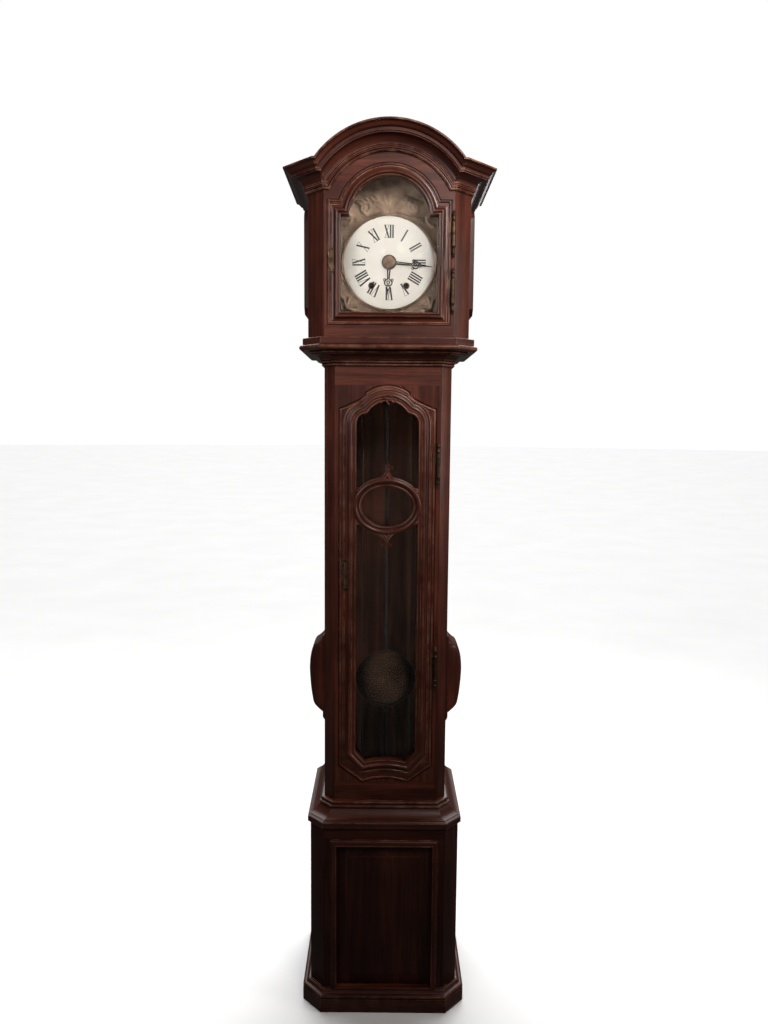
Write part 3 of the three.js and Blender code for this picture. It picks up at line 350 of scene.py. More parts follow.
FINISH = {
    "walnut_z": wood("walnut_upright", "z", WALNUT),
    "hood_frame": wood("walnut_hood_front", "z", WALNUT, rails=RAILS["hood"]),
    "trunk_frame": wood("walnut_trunk_front", "z", WALNUT, rails=RAILS["trunk"]),
    "base_frame": wood("walnut_base_front", "z", SHADED_WALNUT, rails=RAILS["base"]),
    "hood_door_wood": wood("walnut_hood_door", "z", WALNUT, rails=RAILS["hood_door"]),
    "trunk_door_wood": wood("walnut_trunk_door", "z", WALNUT, rails=RAILS["trunk_door"]),
    "base_wood": wood("walnut_base", "z", SHADED_WALNUT),
    "walnut_run": wood("walnut_moulding", "uv", WALNUT, 0.3, 0.2, 0.85),
    "panel_z": wood("panel_upright", "z", SHADED_WALNUT, 0.4, 0.06),
    "back_planks": planks("back_boards", 0.138),
    "carcass_x": wood("carcass_across", "x", CARCASS, 0.62, 0.0),
    "bronze": metal("bronze", (0.075, 0.046, 0.030), (0.022, 0.014, 0.010), 0.42, 0.5, 60.0),
    "embossed": metal("embossed_brass", (0.36, 0.25, 0.18), (0.17, 0.115, 0.085), 0.52, 0.7, 30.0),
    "brass": metal("brass", (0.72, 0.52, 0.24), (0.36, 0.24, 0.11), 0.30, 0.6, 12.0, 0.1),
    # Brass darkened almost to black: painted shade for the pendulum bob and rating nut, which hang inside
    # the shaded case.
    "shaded_bob_brass": metal("shaded_bob_brass", (0.055, 0.029, 0.018), (0.02, 0.011, 0.008), 0.36, 0.6, 9.0, 0.1),
    "blued": metal("blued_steel", (0.045, 0.035, 0.035), (0.018, 0.012, 0.010), 0.38, 0.5, 60.0),
    "boss": metal("boss_bronze", (0.20, 0.135, 0.10), (0.12, 0.08, 0.06), 0.42, 0.5, 70.0),
    "iron": metal("iron", (0.075, 0.068, 0.062), (0.026, 0.022, 0.019), 0.55, 0.6, 40.0, 0.4),
    "cast_bronze": metal("cast_bronze", (0.13, 0.080, 0.052), (0.040, 0.025, 0.017), 0.4, 0.5, 60.0),
    "enamel": enamel_paint(),
    "ink": ink_paint(),
    "glass": glass_paint(),
    "hemp": rope_paint(),
    "floor": floor_paint(),
}


# ------------------------------------------------------------------ mesh helpers
def make_object(name, vertices, faces, uv=None, sharp=32):
    """A mesh object from millimetre points and faces; uv holds one pair for each vertex."""
    mesh = bpy.data.meshes.new(name)
    mesh.from_pydata((np.asarray(vertices) * MM).tolist(), [], [list(map(int, f)) for f in faces])
    if uv is not None:
        layer = mesh.uv_layers.new(name="along_grain")
        corner = np.zeros(len(mesh.loops), np.int32)
        mesh.loops.foreach_get("vertex_index", corner)
        layer.data.foreach_set("uv", (np.asarray(uv)[corner] * MM).astype(np.float32).ravel())
    work = bmesh.new()
    work.from_mesh(mesh)
    bmesh.ops.recalc_face_normals(work, faces=work.faces)
    work.to_mesh(mesh)
    work.free()
    mesh.polygons.foreach_set("use_smooth", np.ones(len(mesh.polygons), bool))
    mesh.set_sharp_from_angle(angle=math.radians(sharp))
    made = bpy.data.objects.new(name, mesh)
    bpy.context.scene.collection.objects.link(made)
    return made


def grid_faces(rows, columns, close_rows, close_columns, start=0):
    """Quads of a rows by columns grid of points, wrapped round where it is closed."""
    r = np.arange(rows if close_rows else rows - 1)
    c = np.arange(columns if close_columns else columns - 1)
    r, c = np.meshgrid(r, c, indexing="ij")
    r1, c1 = (r + 1) % rows, (c + 1) % columns
    quads = np.stack([r * columns + c, r * columns + c1, r1 * columns + c1, r1 * columns + c], -1)
    return (quads.reshape(-1, 4) + start).tolist()


def skin(name, grid, close_rows=False, close_columns=True, caps=True, sharp=32):
    """A surface through a grid of points; open rows of a closed section get flat end caps.
    Its map runs with the length walked along the rows, and with the length round a section."""
    grid = np.asarray(grid, float)
    rows, columns = grid.shape[:2]
    faces = grid_faces(rows, columns, close_rows, close_columns)
    if caps and close_columns and not close_rows:
        faces += [list(range(columns))[::-1], list(range((rows - 1) * columns, rows * columns))]
    along = np.linalg.norm(np.diff(grid.mean(1), axis=0), axis=1)
    around = np.linalg.norm(np.diff(grid, axis=1), axis=2).mean(0)
    u = np.concatenate([[0], np.cumsum(along)])
    v = np.concatenate([[0], np.cumsum(around)])
    uv = np.stack(np.meshgrid(u, v, indexing="ij"), -1).reshape(-1, 2)
    return make_object(name, grid.reshape(-1, 3), faces, uv, sharp)


def put(piece, body, finish, slot, *nodes):
    """Gives a piece its finish and body, and hides the frame nodes that it stands for. The slot is not
    used.
    """
    piece.data.materials.clear()
    piece.data.materials.append(FINISH[finish])
    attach(piece, body)
    if nodes:
        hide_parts(*nodes)
    return piece


def merge(name, pieces):
    """One object from several with the same finish and body."""
    work = bmesh.new()
    for piece in pieces:
        work.from_mesh(piece.data)
        bpy.data.objects.remove(piece)
    mesh = bpy.data.meshes.new(name)
    work.to_mesh(mesh)
    work.free()
    made = bpy.data.objects.new(name, mesh)
    bpy.context.scene.collection.objects.link(made)
    return made


def arc(cx, cy, radius, start, end, steps=7):
    """Points of an arc, from start to end in degrees."""
    a = np.radians(np.linspace(start, end, steps))
    return np.stack([cx + radius * np.cos(a), cy + radius * np.sin(a)], 1)


def cove(x0, y0, x1, y1, steps=8):
    """A hollow quarter ellipse that leaves the first point upright and meets the second level."""
    t = np.linspace(0, math.pi / 2, steps)
    return np.stack([x0 + (x1 - x0) * (1 - np.cos(t)), y0 + (y1 - y0) * np.sin(t)], 1)


def ogee(x0, y0, x1, y1, steps=10):
    """An S-shaped moulding between two points: even in x, a raised cosine in y."""
    t = np.linspace(0, 1, steps)
    return np.stack([x0 + (x1 - x0) * t, y0 + (y1 - y0) * (0.5 - 0.5 * np.cos(math.pi * t))], 1)


def curve(*points, steps=12):
    """A Bezier curve of two, three or four control points."""
    t = np.linspace(0, 1, steps)[:, None]
    points = [np.array(p, float) for p in points]
    while len(points) > 1:
        points = [a + (b - a) * t for a, b in zip(points, points[1:])]
    return points[0]


def profile(*parts):
    """One outline from single points and runs of points."""
    return np.concatenate([np.atleast_2d(np.array(p, float)) for p in parts])


def path(*parts):
    """A line from single points and runs of points, with doubled points dropped."""
    line = profile(*parts)
    keep = np.concatenate([[True], np.linalg.norm(np.diff(line, axis=0), axis=1) > 0.05])
    return line[keep]


def mirror_line(line):
    """A closed outline from its right half, drawn from the bottom middle up to the top middle."""
    left = line[::-1] * [-1, 1]
    return path(line, left[1:-1] if abs(line[0][0]) < 1e-6 else left[1:])


def mitres(line, closed):
    """For each point, the sideways step that moves both neighbouring lines by one millimetre.
    It is the sum of the two unit normals over one plus their dot product."""
    if closed:
        before, after = line - np.roll(line, 1, 0), np.roll(line, -1, 0) - line
    else:
        steps = np.diff(line, axis=0)
        before, after = np.vstack([steps[:1], steps]), np.vstack([steps, steps[-1:]])
    before /= np.linalg.norm(before, axis=1)[:, None]
    after /= np.linalg.norm(after, axis=1)[:, None]
    n0 = np.stack([before[:, 1], -before[:, 0]], 1)
    n1 = np.stack([after[:, 1], -after[:, 0]], 1)
    return (n0 + n1) / (1 + np.clip((n0 * n1).sum(1), -0.6, 1))[:, None]


def supported(section, margin=1.2):
    """The same outline with two more points on each long straight, just inside its ends."""
    points = []
    for a, b in zip(section, np.roll(section, -1, 0)):
        length = np.linalg.norm(b - a)
        points.append(a)
        if length > 4 * margin:
            points += [a + (b - a) * margin / length, b - (b - a) * margin / length]
    return np.array(points)


def braced(grid, closed, margin=2.5):
    """The same rows with two more on each long straight, just inside its ends, so that the lightened
    edges, partly rubbed wear and partly painted highlight, and the painted shade in the grooves stay at
    the corners."""
    rows = []
    after = np.roll(grid, -1, 0)
    for i, (a, b) in enumerate(zip(grid, after)):
        length = np.linalg.norm(b.mean(0) - a.mean(0))
        rows.append(a)
        if length > 5 * margin and (closed or i < len(grid) - 1):
            share = margin / length
            rows += [a + (b - a) * share, b - (b - a) * share]
    return np.array(rows)


def run(name, section, at, out, up, closed=False, sharp=32):
    """Carries a section along stations: each point is at + out times its x + up times its y."""
    at, out, up = (np.asarray(v, float)[:, None, :] for v in (at, out, up))
    section = supported(np.asarray(section, float))
    grid = at + out * section[None, :, :1] + up * section[None, :, 1:]
    return skin(name, braced(grid, closed), close_rows=closed, sharp=sharp)


def front_run(name, line, section, face_y, closed=True, sharp=32):
    """Carries a section round a line drawn in X and Z on a front face: its x goes outwards from
    the line, which is walked anticlockwise, and its y stands proud of the face."""
    side = mitres(line, closed)
    at = np.stack([line[:, 0], np.full(len(line), face_y), line[:, 1]], 1)
    out = np.stack([side[:, 0], np.zeros(len(line)), side[:, 1]], 1)
    up = np.tile([0.0, -1.0, 0.0], (len(line), 1))
    return run(name, section, at, out, up, closed, sharp)


def plan(half, front_half, front_y):
    """The plan of a case stage, from its back left corner round both canted corners."""
    side_y = front_y + half - front_half
    right = np.array([[front_half, front_y], [half, side_y], [half, BACK_Y]])
    return np.vstack([right[::-1] * [-1, 1], right])


def grown(points, distance):
    """The same plan with its front, cants and sides moved outwards."""
    mitre = math.tan(math.pi / 8)
    shift = np.array([[mitre, -1], [1, -mitre], [1, 0]]) * distance
    return points + np.vstack([shift[::-1] * [-1, 1], shift])


def girdle(name, section, inner, outer, reach, z):
    """A moulding that runs round a stage, between an inner and an outer plan."""
    side = (outer - inner) / reach
    at = np.column_stack([inner, np.full(len(inner), z)])
    out = np.column_stack([side, np.zeros(len(inner))])
    up = np.tile([0.0, 0.0, 1.0], (len(inner), 1))
    return run(name, section, at, out, up)


def turned(name, line, centre, axis="z", segments=48, sharp=32, caps=True):
    """A turned piece: radius and height pairs swept round an axis through the centre."""
    line = np.asarray(line, float)
    angle = np.linspace(0, TAU, segments, endpoint=False)
    r, h = line[:, 0][:, None], np.repeat(line[:, 1][:, None], segments, 1)
    a, b = r * np.cos(angle), r * np.sin(angle)
    grid = np.stack([a, b, h] if axis == "z" else [a, h, b], -1) + np.array(centre)
    return skin(name, grid, sharp=sharp, caps=caps)


def tube(name, line, radius, sides=12, flat=1.0, sharp=60):
    """A tube along a line in space; radius may vary along it, and flat squeezes it along Y."""
    line = np.asarray(line, float)
    radius = np.broadcast_to(radius, len(line))[:, None]
    tangent = np.gradient(line, axis=0)
    tangent /= np.linalg.norm(tangent, axis=1)[:, None]
    aside = np.cross(tangent, [0, 1, 0])
    weak = np.linalg.norm(aside, axis=1) < 1e-3
    aside[weak] = np.cross(tangent[weak], [1, 0, 0])
    aside /= np.linalg.norm(aside, axis=1)[:, None]
    other = np.cross(tangent, aside)
    angle = np.linspace(0, TAU, sides, endpoint=False)[None, :, None]
    ring = aside[:, None] * np.cos(angle) + other[:, None] * np.sin(angle) * flat
    return skin(name, line[:, None] + ring * radius[:, :, None], sharp=sharp)


def eased_bar(name, outline, z0, z1, ease=1.2):
    """An upright bar of a given plan whose ends and corners are slightly eased."""
    outline = np.asarray(outline, float)
    corner = []
    for i, point in enumerate(outline):
        before, after = outline[i - 1] - point, outline[(i + 1) % len(outline)] - point
        a = point + before / np.linalg.norm(before) * ease
        b = point + after / np.linalg.norm(after) * ease
        corner.append(curve(a, point, b, steps=4))
    ring = np.concatenate(corner)
    middle = ring.mean(0)
    levels = [(z0, 0.6), (z0 + 0.6, 0), (z1 - 0.6, 0), (z1, 0.6)]
    grid = []
    for z, inset in levels:
        away = ring - middle
        length = np.linalg.norm(away, axis=1)[:, None]
        grid.append(np.column_stack([ring - away / length * inset, np.full(len(ring), z)]))
    return skin(name, np.array(grid))


def flat_plate(name, outline, y_front, y_back, ease=0.5, centre=None):
    """A plate with a given X and Z outline and eased front edge, filled towards its centre."""
    outline = np.asarray(outline, float)
    middle = outline.mean(0) if centre is None else np.array(centre, float)
    size = np.abs(outline - middle).max()
    rings = [(1.0, y_back), (1.0, y_front + ease), (1 - ease / size, y_front), (0.02, y_front)]
    grid = []
    for share, y in [(0.02, y_back)] + rings:
        points = middle + (outline - middle) * share
        grid.append(np.column_stack([points[:, 0], np.full(len(points), y), points[:, 1]]))
    return skin(name, np.array(grid))


# ------------------------------------------------------------------ camera, light and floor
EYE = np.array([-8.0, -2179.0, 1656.0])
PITCH = math.radians(6.3)
ROLL = math.radians(0.47)
FOCAL, IMAGE_HEIGHT = 769.0, 1024  # in the same unit
SENSOR = 36.0

# name, place and target in metres, size in metres, watts, colour, spread in degrees
SOFT_LIGHTS = (
    ("key", (0.75, -1.6, 2.85), (0, 0, 2.1), (0.7, 0.7), 12.5, (1.0, 0.95, 0.9), 86),
    ("fill", (-1.1, -1.7, 2.3), (0, 0, 2.0), (0.9, 0.9), 7, (0.98, 0.97, 1.0), 100),
    ("side", (2.2, -0.7, 2.0), (0, 0, 1.6), (0.5, 1.2), 9, (1.0, 0.94, 0.88), 100),
    ("back", (0.4, 2.6, 3.0), (0, 0, 1.6), (1.6, 1.6), 26, (1, 1, 1), 180),
)
ROOM_TINT, ROOM_GLOW = (1.0, 0.97, 0.94, 1), 0.08
WASH_POWER, WASH_ANGLE, WASH_TILT = 3.7, math.radians(70), math.radians(-38)
FLOOR_REACH, FLOOR_FLAT, FLOOR_CURL = 30000, 9000, 2e-6
FLOOR_DROP = 0.6                   # below the clock's foot


def make_camera():
    """A camera at eye height, pitched down a little and rolled by a trace."""
    data = bpy.data.cameras.new("camera")
    data.sensor_width = SENSOR
    data.lens = SENSOR * FOCAL / IMAGE_HEIGHT
    camera = bpy.data.objects.new("camera", data)
    turn = Matrix.Rotation(math.pi / 2 - PITCH, 4, "X") @ Matrix.Rotation(ROLL, 4, "Z")
    camera.matrix_world = Matrix.Translation((EYE * MM).tolist()) @ turn
    bpy.context.scene.collection.objects.link(camera)
    bpy.context.scene.camera = camera


def soft_light(name, place, target, size, power, colour, spread):
    """A square area light that faces a target point; places are in metres."""
    data = bpy.data.lights.new(name, "AREA")
    data.shape = "RECTANGLE"
    data.size, data.size_y = size
    data.energy = power
    data.color = colour
    data.spread = math.radians(spread)
    light = bpy.data.objects.new(name, data)
    away = np.array(place) - np.array(target)
    yaw = math.atan2(away[0], -away[1])
    pitch = math.atan2(away[2], math.hypot(away[0], away[1]))
    turn = Matrix.Rotation(yaw, 4, "Z") @ Matrix.Rotation(math.pi / 2 - pitch, 4, "X")
    light.matrix_world = Matrix.Translation(place) @ turn
    bpy.context.scene.collection.objects.link(light)


def make_studio():
    """Soft area lights, a sun from behind that washes the floor, and a white room that the camera
    sees but that lights the clock only faintly."""
    world = bpy.data.worlds.new("studio")
    bpy.context.scene.world = world
    world.use_nodes = True
    tree = world.node_tree
    lit, seen = tree.nodes["Background"], tree.nodes.new("ShaderNodeBackground")
    lit.inputs["Color"].default_value = ROOM_TINT
    lit.inputs["Strength"].default_value = ROOM_GLOW
    seen.inputs["Color"].default_value = (1, 1, 1, 1)
    seen.inputs["Strength"].default_value = 1.0
    blend, ray = tree.nodes.new("ShaderNodeMixShader"), tree.nodes.new("ShaderNodeLightPath")
    tree.links.new(ray.outputs["Is Camera Ray"], blend.inputs[0])
    tree.links.new(lit.outputs[0], blend.inputs[1])
    tree.links.new(seen.outputs[0], blend.inputs[2])
    tree.links.new(blend.outputs[0], tree.nodes["World Output"].inputs["Surface"])
    for settings in SOFT_LIGHTS:
        soft_light(*settings)
    sky = bpy.data.lights.new("floor_wash", "SUN")
    sky.energy, sky.angle = WASH_POWER, WASH_ANGLE
    wash = bpy.data.objects.new("floor_wash", sky)
    wash.matrix_world = Matrix.Rotation(WASH_TILT, 4, "X")
    bpy.context.scene.collection.objects.link(wash)
    bpy.context.scene.view_settings.view_transform = "Standard"


def make_floor():
    """A wide level floor that curves up far away, so that its edge never shows. It takes light
    but throws none back, so that the clock's foot stays in shade."""
    radius = np.concatenate([[0.5], np.geomspace(300, FLOOR_REACH, 24)])
    rise = np.where(radius > FLOOR_FLAT, (radius - FLOOR_FLAT) ** 2 * FLOOR_CURL, 0)
    line = np.column_stack([radius, rise - FLOOR_DROP])
    floor = turned("studio_floor", line, (0, 0, 0), segments=72, caps=False)
    floor.data.materials.append(FINISH["floor"])
    floor.visible_diffuse = floor.visible_glossy = False


make_camera()
make_studio()
make_floor()

# ------------------------------------------------------------------ case mouldings
HOOD_PLAN = plan(HOOD_HALF, HOOD_FRONT_HALF, HOOD_FRONT)
TRUNK_PLAN = plan(TRUNK_HALF, TRUNK_FRONT_HALF, TRUNK_FRONT)
BASE_PLAN = plan(BASE_HALF, BASE_FRONT_HALF, HOOD_FRONT)
STEP_OUT = TRUNK_FRONT - HOOD_FRONT


def plinth():
    """A square face, then a bead and a reversed curve up to the base; girdled round the base."""
    out = PLINTH_OUT
    section = profile(
        (GAP, 0), (out - 0.8, 0), (out, 0.8), (out, PLINTH_TOP - 23.5), (out - 0.8, PLINTH_TOP - 23),
        (out - 3, PLINTH_TOP - 22.4), arc(out - 4.6, PLINTH_TOP - 17, 4.6, -80, 80, 9),
        (out - 5.5, PLINTH_TOP - 11.4), (out - 8.5, PLINTH_TOP - 11),
        ogee(out - 8.8, PLINTH_TOP - 10.6, 4.5, PLINTH_TOP - 2.4), (3, PLINTH_TOP - 2.2),
        (3, PLINTH_TOP), (GAP, PLINTH_TOP),
    )
    piece = girdle("plinth_run", section, BASE_PLAN, grown(BASE_PLAN, out), out, 0)
    put(piece, "case", "walnut_run", "walnut", "plinth_moulding")


def base_top():
    """A rounded lip, a hollow slope and two beads, from the base plan in to the trunk plan."""
    lip = STEP_OUT + 8
    height = TRUNK_FOOT - BASE_TOP
    section = profile(
        (GAP, 0), (lip - 5, 0), arc(lip - 4.5, 5, 4.5, -90, 0, 6), (lip, 15.5),
        arc(lip - 3.5, 16, 3.5, 0, 90, 5), (lip - 5, 21), (lip - 7, 21.4), (lip - 7.5, 23),
        curve((lip - 8, 23.4), (27, 26), (15.5, 43), steps=12), (14.8, 44.4),
        arc(10.5, 49.3, 4.9, -75, 75, 9), (9.6, 54.4), arc(6.4, 58.9, 4.3, -75, 80, 8),
        (3.2, height), (GAP, height),
    )
    piece = girdle("base_top_run", section, TRUNK_PLAN, BASE_PLAN, STEP_OUT, BASE_TOP)
    put(piece, "case", "walnut_run", "walnut", "base_top_moulding")


def waist():
    """Beads and a hollow that spread from the trunk plan out to a torus, and a shelf for the hood."""
    torus, shelf = STEP_OUT + 22, STEP_OUT + 13.5
    height = HOOD_FOOT - WAIST_Z
    section = profile(
        (GAP, 0), (3, 0), arc(4, 3.4, 3.2, -80, 80, 7), (5, 7.2), arc(6.5, 11, 3.4, -80, 80, 7),
        (8.2, 14.8), (10.5, 15.4), cove(11, 15.8, 30, 29), (33, 29.3), (33, 31.4),
        arc(36, 34.2, 3.2, -70, 70, 7), (38.5, 37.4), (torus - 7, 38),
        arc(torus - 7.3, 45.3, 7.3, -85, 85, 12), (torus - 7, 53), (shelf - 1, 53.4),
        (shelf, 54.4), (shelf, height - 3.5), arc(shelf - 3, height - 3, 3, 0, 90, 5),
        (GAP, height),
    )
    piece = girdle("waist_run", section, TRUNK_PLAN, HOOD_PLAN, STEP_OUT, WAIST_Z)
    put(piece, "case", "walnut_run", "walnut", "waist_moulding")


def cornice():
    """Level moulding along the sides and cants, mitred into a segmental arch over the front."""
    out = CORNICE_OUT
    section = profile(
        (GAP, 0), (4, 0), arc(4, 3.6, 3.6, -90, 90, 8), (5, 7.4), (8.5, 7.6), (8.5, 10.6),
        arc(8.8, 13, 2.2, -80, 80, 5), (11, 15.4), cove(11.4, 15.6, 34, 35, 12), (37.6, 35.3),
        (38, 38.2), (41.5, 38.6), (42, 45.4), (44, 46), ogee(45, 46.5, out - 4, 56.2, 12),
        (out - 1, 56.8), (out, 57.6), (out, out - 0.8), (out - 0.8, out), (GAP, out),
    )
    section = supported(section)
    proud, high = section[:, 0], section[:, 1]
    radius = ARCH_R - out + high
    level_z = CORNICE_Z + high
    foot_x = np.sqrt(radius ** 2 - (level_z - ARCH_Z) ** 2)
    widest = np.arcsin(foot_x / radius)
    share = np.concatenate([[-1], np.linspace(-0.985, 0.985, 57), [1]])[:, None]
    angle = widest * share
    arch = np.stack([
        radius * np.sin(angle), np.broadcast_to(HOOD_FRONT - proud, angle.shape),
        ARCH_Z + radius * np.cos(angle),
    ], -1)
    side = (grown(HOOD_PLAN, out) - HOOD_PLAN) / out
    flat = HOOD_PLAN[:, None] + side[:, None] * proud[None, :, None]
    level = np.concatenate([flat, np.broadcast_to(level_z, flat.shape[:2])[..., None]], -1)
    grid = np.concatenate([level[:3], arch, level[3:]])
    piece = skin("cornice_run", braced(grid, False), sharp=28)
    put(piece, "case", "walnut_run", "walnut", "hood_cornice")


def corner_posts():
    """The canted posts, with eased edges, in each stage and on both sides."""
    for stage in ("base", "trunk", "hood"):
        for side, sign in (("left", -1), ("right", 1)):
            node = f"{stage}_corner_{side}"
            low, high = span(node)
            near, far = sorted([abs(low[0]), abs(high[0])])
            front_y, side_y = low[1], high[1]
            outline = np.array([
                [near, front_y + 0.2], [far, side_y], [far - 16, side_y], [near, front_y + 20],
            ]) * [sign, 1]
            piece = eased_bar(node + "_post", outline, low[2], high[2])
            put(piece, "case", "base_wood" if stage == "base" else "walnut_z", "walnut", node)


def base_panel():
    """A fielded panel in its frame, and the moulding that frames it."""
    low, high = span("base_front_panel")
    half, z0, z1 = high[0], low[2], high[2]
    rings = [(0, high[1]), (0, low[1] + 2.2), (7, low[1] + 2.0), (7.6, low[1] + 0.6), (34, low[1] - 3)]
    rings += [(35, low[1] - 4.4), (60, low[1] - 4.6), (half - 4, low[1] - 4.6)]
    grid = []
    for inset, y in [(half - 4, high[1])] + rings:
        w, b, t = half - inset, z0 + inset, z1 - inset
        corners = [(-w, b), (0, b), (w, b), (w, (b + t) / 2), (w, t), (0, t), (-w, t), (-w, (b + t) / 2)]
        grid.append([(x, y, z) for x, z in corners])
    panel = skin("base_panel_field", np.array(grid), sharp=20)
    put(panel, "case", "panel_z", "panel_wood", "base_front_panel")
    half, z0, z1 = half + GAP, z0 - GAP, z1 + GAP
    line = np.array([[half, z0], [half, z1], [-half, z1], [-half, z0]])
    section = profile(
        (-0.4, -8), (-0.4, 6.4), arc(2, 7.2, 2.2, 180, 0, 7), (5, 7.2), (10.6, 7.2),
        curve((11, 7), (15, 6.4), (16.5, 1.2), steps=7), (17.5, 1), (17.5, -0.5),
    )
    moulding = front_run("base_panel_moulding", line, section, HOOD_FRONT)
    put(moulding, "case", "walnut_run", "walnut")


plinth()
base_top()
waist()
cornice()
corner_posts()
base_panel()

# ------------------------------------------------------------------ side bulges
def bulge_outline(deep, height):
    """A bulge seen from the front, as depth and height: five Bezier curves from a narrow foot
    over a full belly to a scooped shoulder."""
    foot, belly = (deep * 0.15, 16), (deep * 0.76, height * 0.18)
    fullest, shoulder = (deep, height * 0.58), (deep * 0.68, height * 0.875)
    return path(
        (0, 0), curve((1, 4), (deep * 0.1, 10), foot, steps=5),
        curve(foot, (deep * 0.62, 26), belly, steps=8),
        curve(belly, (deep * 0.96, height * 0.36), fullest, steps=12),
        curve(fullest, (deep * 0.99, height * 0.80), shoulder, steps=10),
        curve(shoulder, (deep * 0.30, height * 0.915), (2, height - 3), steps=8),
        (0, height),
    )


BULGE_ROUNDING = 0.16              # share of the width over which each end is rounded


def side_bulges():
    """A scooped box on each side. Depth follows the outline, and drops to the board at the front
    and back ends by a power of a sine."""
    low, high = span("side_bulge_right")
    z0, z1 = low[2], high[2]
    outline = bulge_outline(high[0] - low[0], z1 - z0)
    y0, y1 = low[1], high[1]
    t = np.linspace(0, 1, 15)
    near_end = np.clip(np.minimum(t, 1 - t) / BULGE_ROUNDING, 0, 1)
    round_off = np.maximum(np.sin(near_end * math.pi / 2) ** 0.55, 0.02)
    y = y0 + (y1 - y0) * t
    for side, sign in (("left", -1), ("right", 1)):
        proud = outline[None, :, 0] * round_off[:, None]
        x = sign * (low[0] + proud)
        z = np.broadcast_to(z0 + outline[None, :, 1], x.shape)
        grid = np.stack([x, np.broadcast_to(y[:, None], x.shape), z], -1)
        piece = skin(f"bulge_{side}_shell", grid, close_columns=True, sharp=38)
        put(piece, "case", "walnut_z", "walnut", f"side_bulge_{side}")
        rim = path((y0 + 3, z0 + 4), (y1 - 3, z0 + 4), (y1 - 3, z1 - 4), (y0 + 3, z1 - 4))
        trim = mitres(rim, True)
        at = np.column_stack([np.full(4, sign * low[0]), rim])
        out = np.column_stack([np.zeros(4), trim])
        up = np.tile([float(sign), 0, 0], (4, 1))
        section = profile((-5, 0), (-5, 2.5), arc(0, 2.5, 3, 180, 0, 7), (5, 2.5), (6, 0))
        bead = run(f"bulge_{side}_bead", section, at, out, up, closed=True)
        put(bead, "case", "walnut_z", "walnut")


side_bulges()

# ------------------------------------------------------------------ hood door
HOOD_SIGHT_LOW, HOOD_SIGHT_HIGH = span("hood_door_glass")
HOOD_SIGHT_HALF = HOOD_SIGHT_HIGH[0] + GAP
HOOD_SIGHT_FOOT = HOOD_SIGHT_LOW[2] - GAP
HOOD_SIGHT_R = 105.0
HOOD_ARCH_Z = HOOD_SIGHT_HIGH[2] + GAP - HOOD_SIGHT_R
HOOD_STEP_Z = HOOD_ARCH_Z + 8.8
HOOD_DOOR_LOW, HOOD_DOOR_HIGH = span("hood_door_frame")
HOOD_EDGE_EAR = 311.5              # ear of the hood door's edge, above its foot
HOOD_EDGE_R = 134.0
EDGE_INSET = 4                     # a door's outer bead, inside its edge


def eared_arch(half, foot, ear, centre, radius, steps=41):
    """Anticlockwise outline: straight sides up to flat ears, and a round arch between them."""
    rise = math.degrees(math.asin((ear - centre) / radius))
    return path(
        (half, foot), (half, ear), arc(0, centre, radius, rise, 180 - rise, steps),
        (-half, ear), (-half, foot),
    )


def hood_door():
    """The moulding round the pane's eared arch, and a small bead just inside the door's edge."""
    sight = eared_arch(HOOD_SIGHT_HALF, HOOD_SIGHT_FOOT, HOOD_STEP_Z, HOOD_ARCH_Z, HOOD_SIGHT_R)
    section = profile(
        (-0.5, -4), (-0.5, 6.6), arc(1.9, 7.6, 2.4, 180, 0, 8), (4.6, 7.4), (6.4, 7.3),
        arc(9.6, 8.2, 3.2, 190, 10, 9), (13, 7.2), (14.2, 5.2),
        curve((14.6, 5.0), (17, 1.4), (22.5, 1.1), steps=7), (23.2, 2.2), (25, 2.2), (25.4, -0.4),
    )
    piece = front_run("hood_door_moulding", sight, section, HOOD_FRONT)
    put(piece, "hood_door", "walnut_run", "walnut")
    foot, half = HOOD_DOOR_LOW[2], HOOD_DOOR_HIGH[0]
    ear = foot + HOOD_EDGE_EAR
    edge = eared_arch(
        half - EDGE_INSET, foot + EDGE_INSET, ear - EDGE_INSET, HOOD_ARCH_Z, HOOD_EDGE_R,
    )
    bead = profile((-3, -0.4), (-2.4, 0.6), arc(0, 0.6, 2, 180, 0, 7), (3.6, 0.6), (3.6, -0.4))
    piece = front_run("hood_door_edge", edge, bead, HOOD_FRONT)
    put(piece, "hood_door", "walnut_run", "walnut")


hood_door()

# ------------------------------------------------------------------ trunk door
OVAL_LOW, OVAL_HIGH = span("trunk_door_glass_oval")
DOOR_LOW, DOOR_HIGH = span("trunk_door_frame")
SIGHT_HALF = span("trunk_door_glass_upper")[1][0] + GAP
OVAL_Z = (OVAL_LOW[2] + OVAL_HIGH[2]) / 2
OVAL_A, OVAL_B = OVAL_HIGH[0] + GAP, (OVAL_HIGH[2] - OVAL_LOW[2]) / 2 + GAP
SIGHT_TOP = DOOR_HIGH[2] - 42
SIGHT_SHOULDER = DOOR_HIGH[2] - 103
SIGHT_STEP_HALF, SIGHT_STEP_RISE = 55, 30   # where the shoulder's curve meets the arch's
SIGHT_FOOT = DOOR_LOW[2] + 62
SIGHT_CUT_WIDTH, SIGHT_CUT_RISE = 27, 29    # the cut corners at the foot
SIGHT_FOOT_ARCH = 7
DOOR_EAR_Z = DOOR_HIGH[2] - 63
DOOR_STEP_Z, DOOR_STEP_HALF, DOOR_STEP_RISE = DOOR_HIGH[2] - 29, 59, 9
DOOR_CORNER_Z = DOOR_LOW[2] + 49
DOOR_FOOT_HALF, DOOR_FOOT_ARCH = 64, 12
OGEE_SIDE, OGEE_TIP = 49.0, 103.0           # the lunette block's edge above the oval's middle
OGEE_REACH, OGEE_NECK, OGEE_NECK_HALF = 34, 70, 14


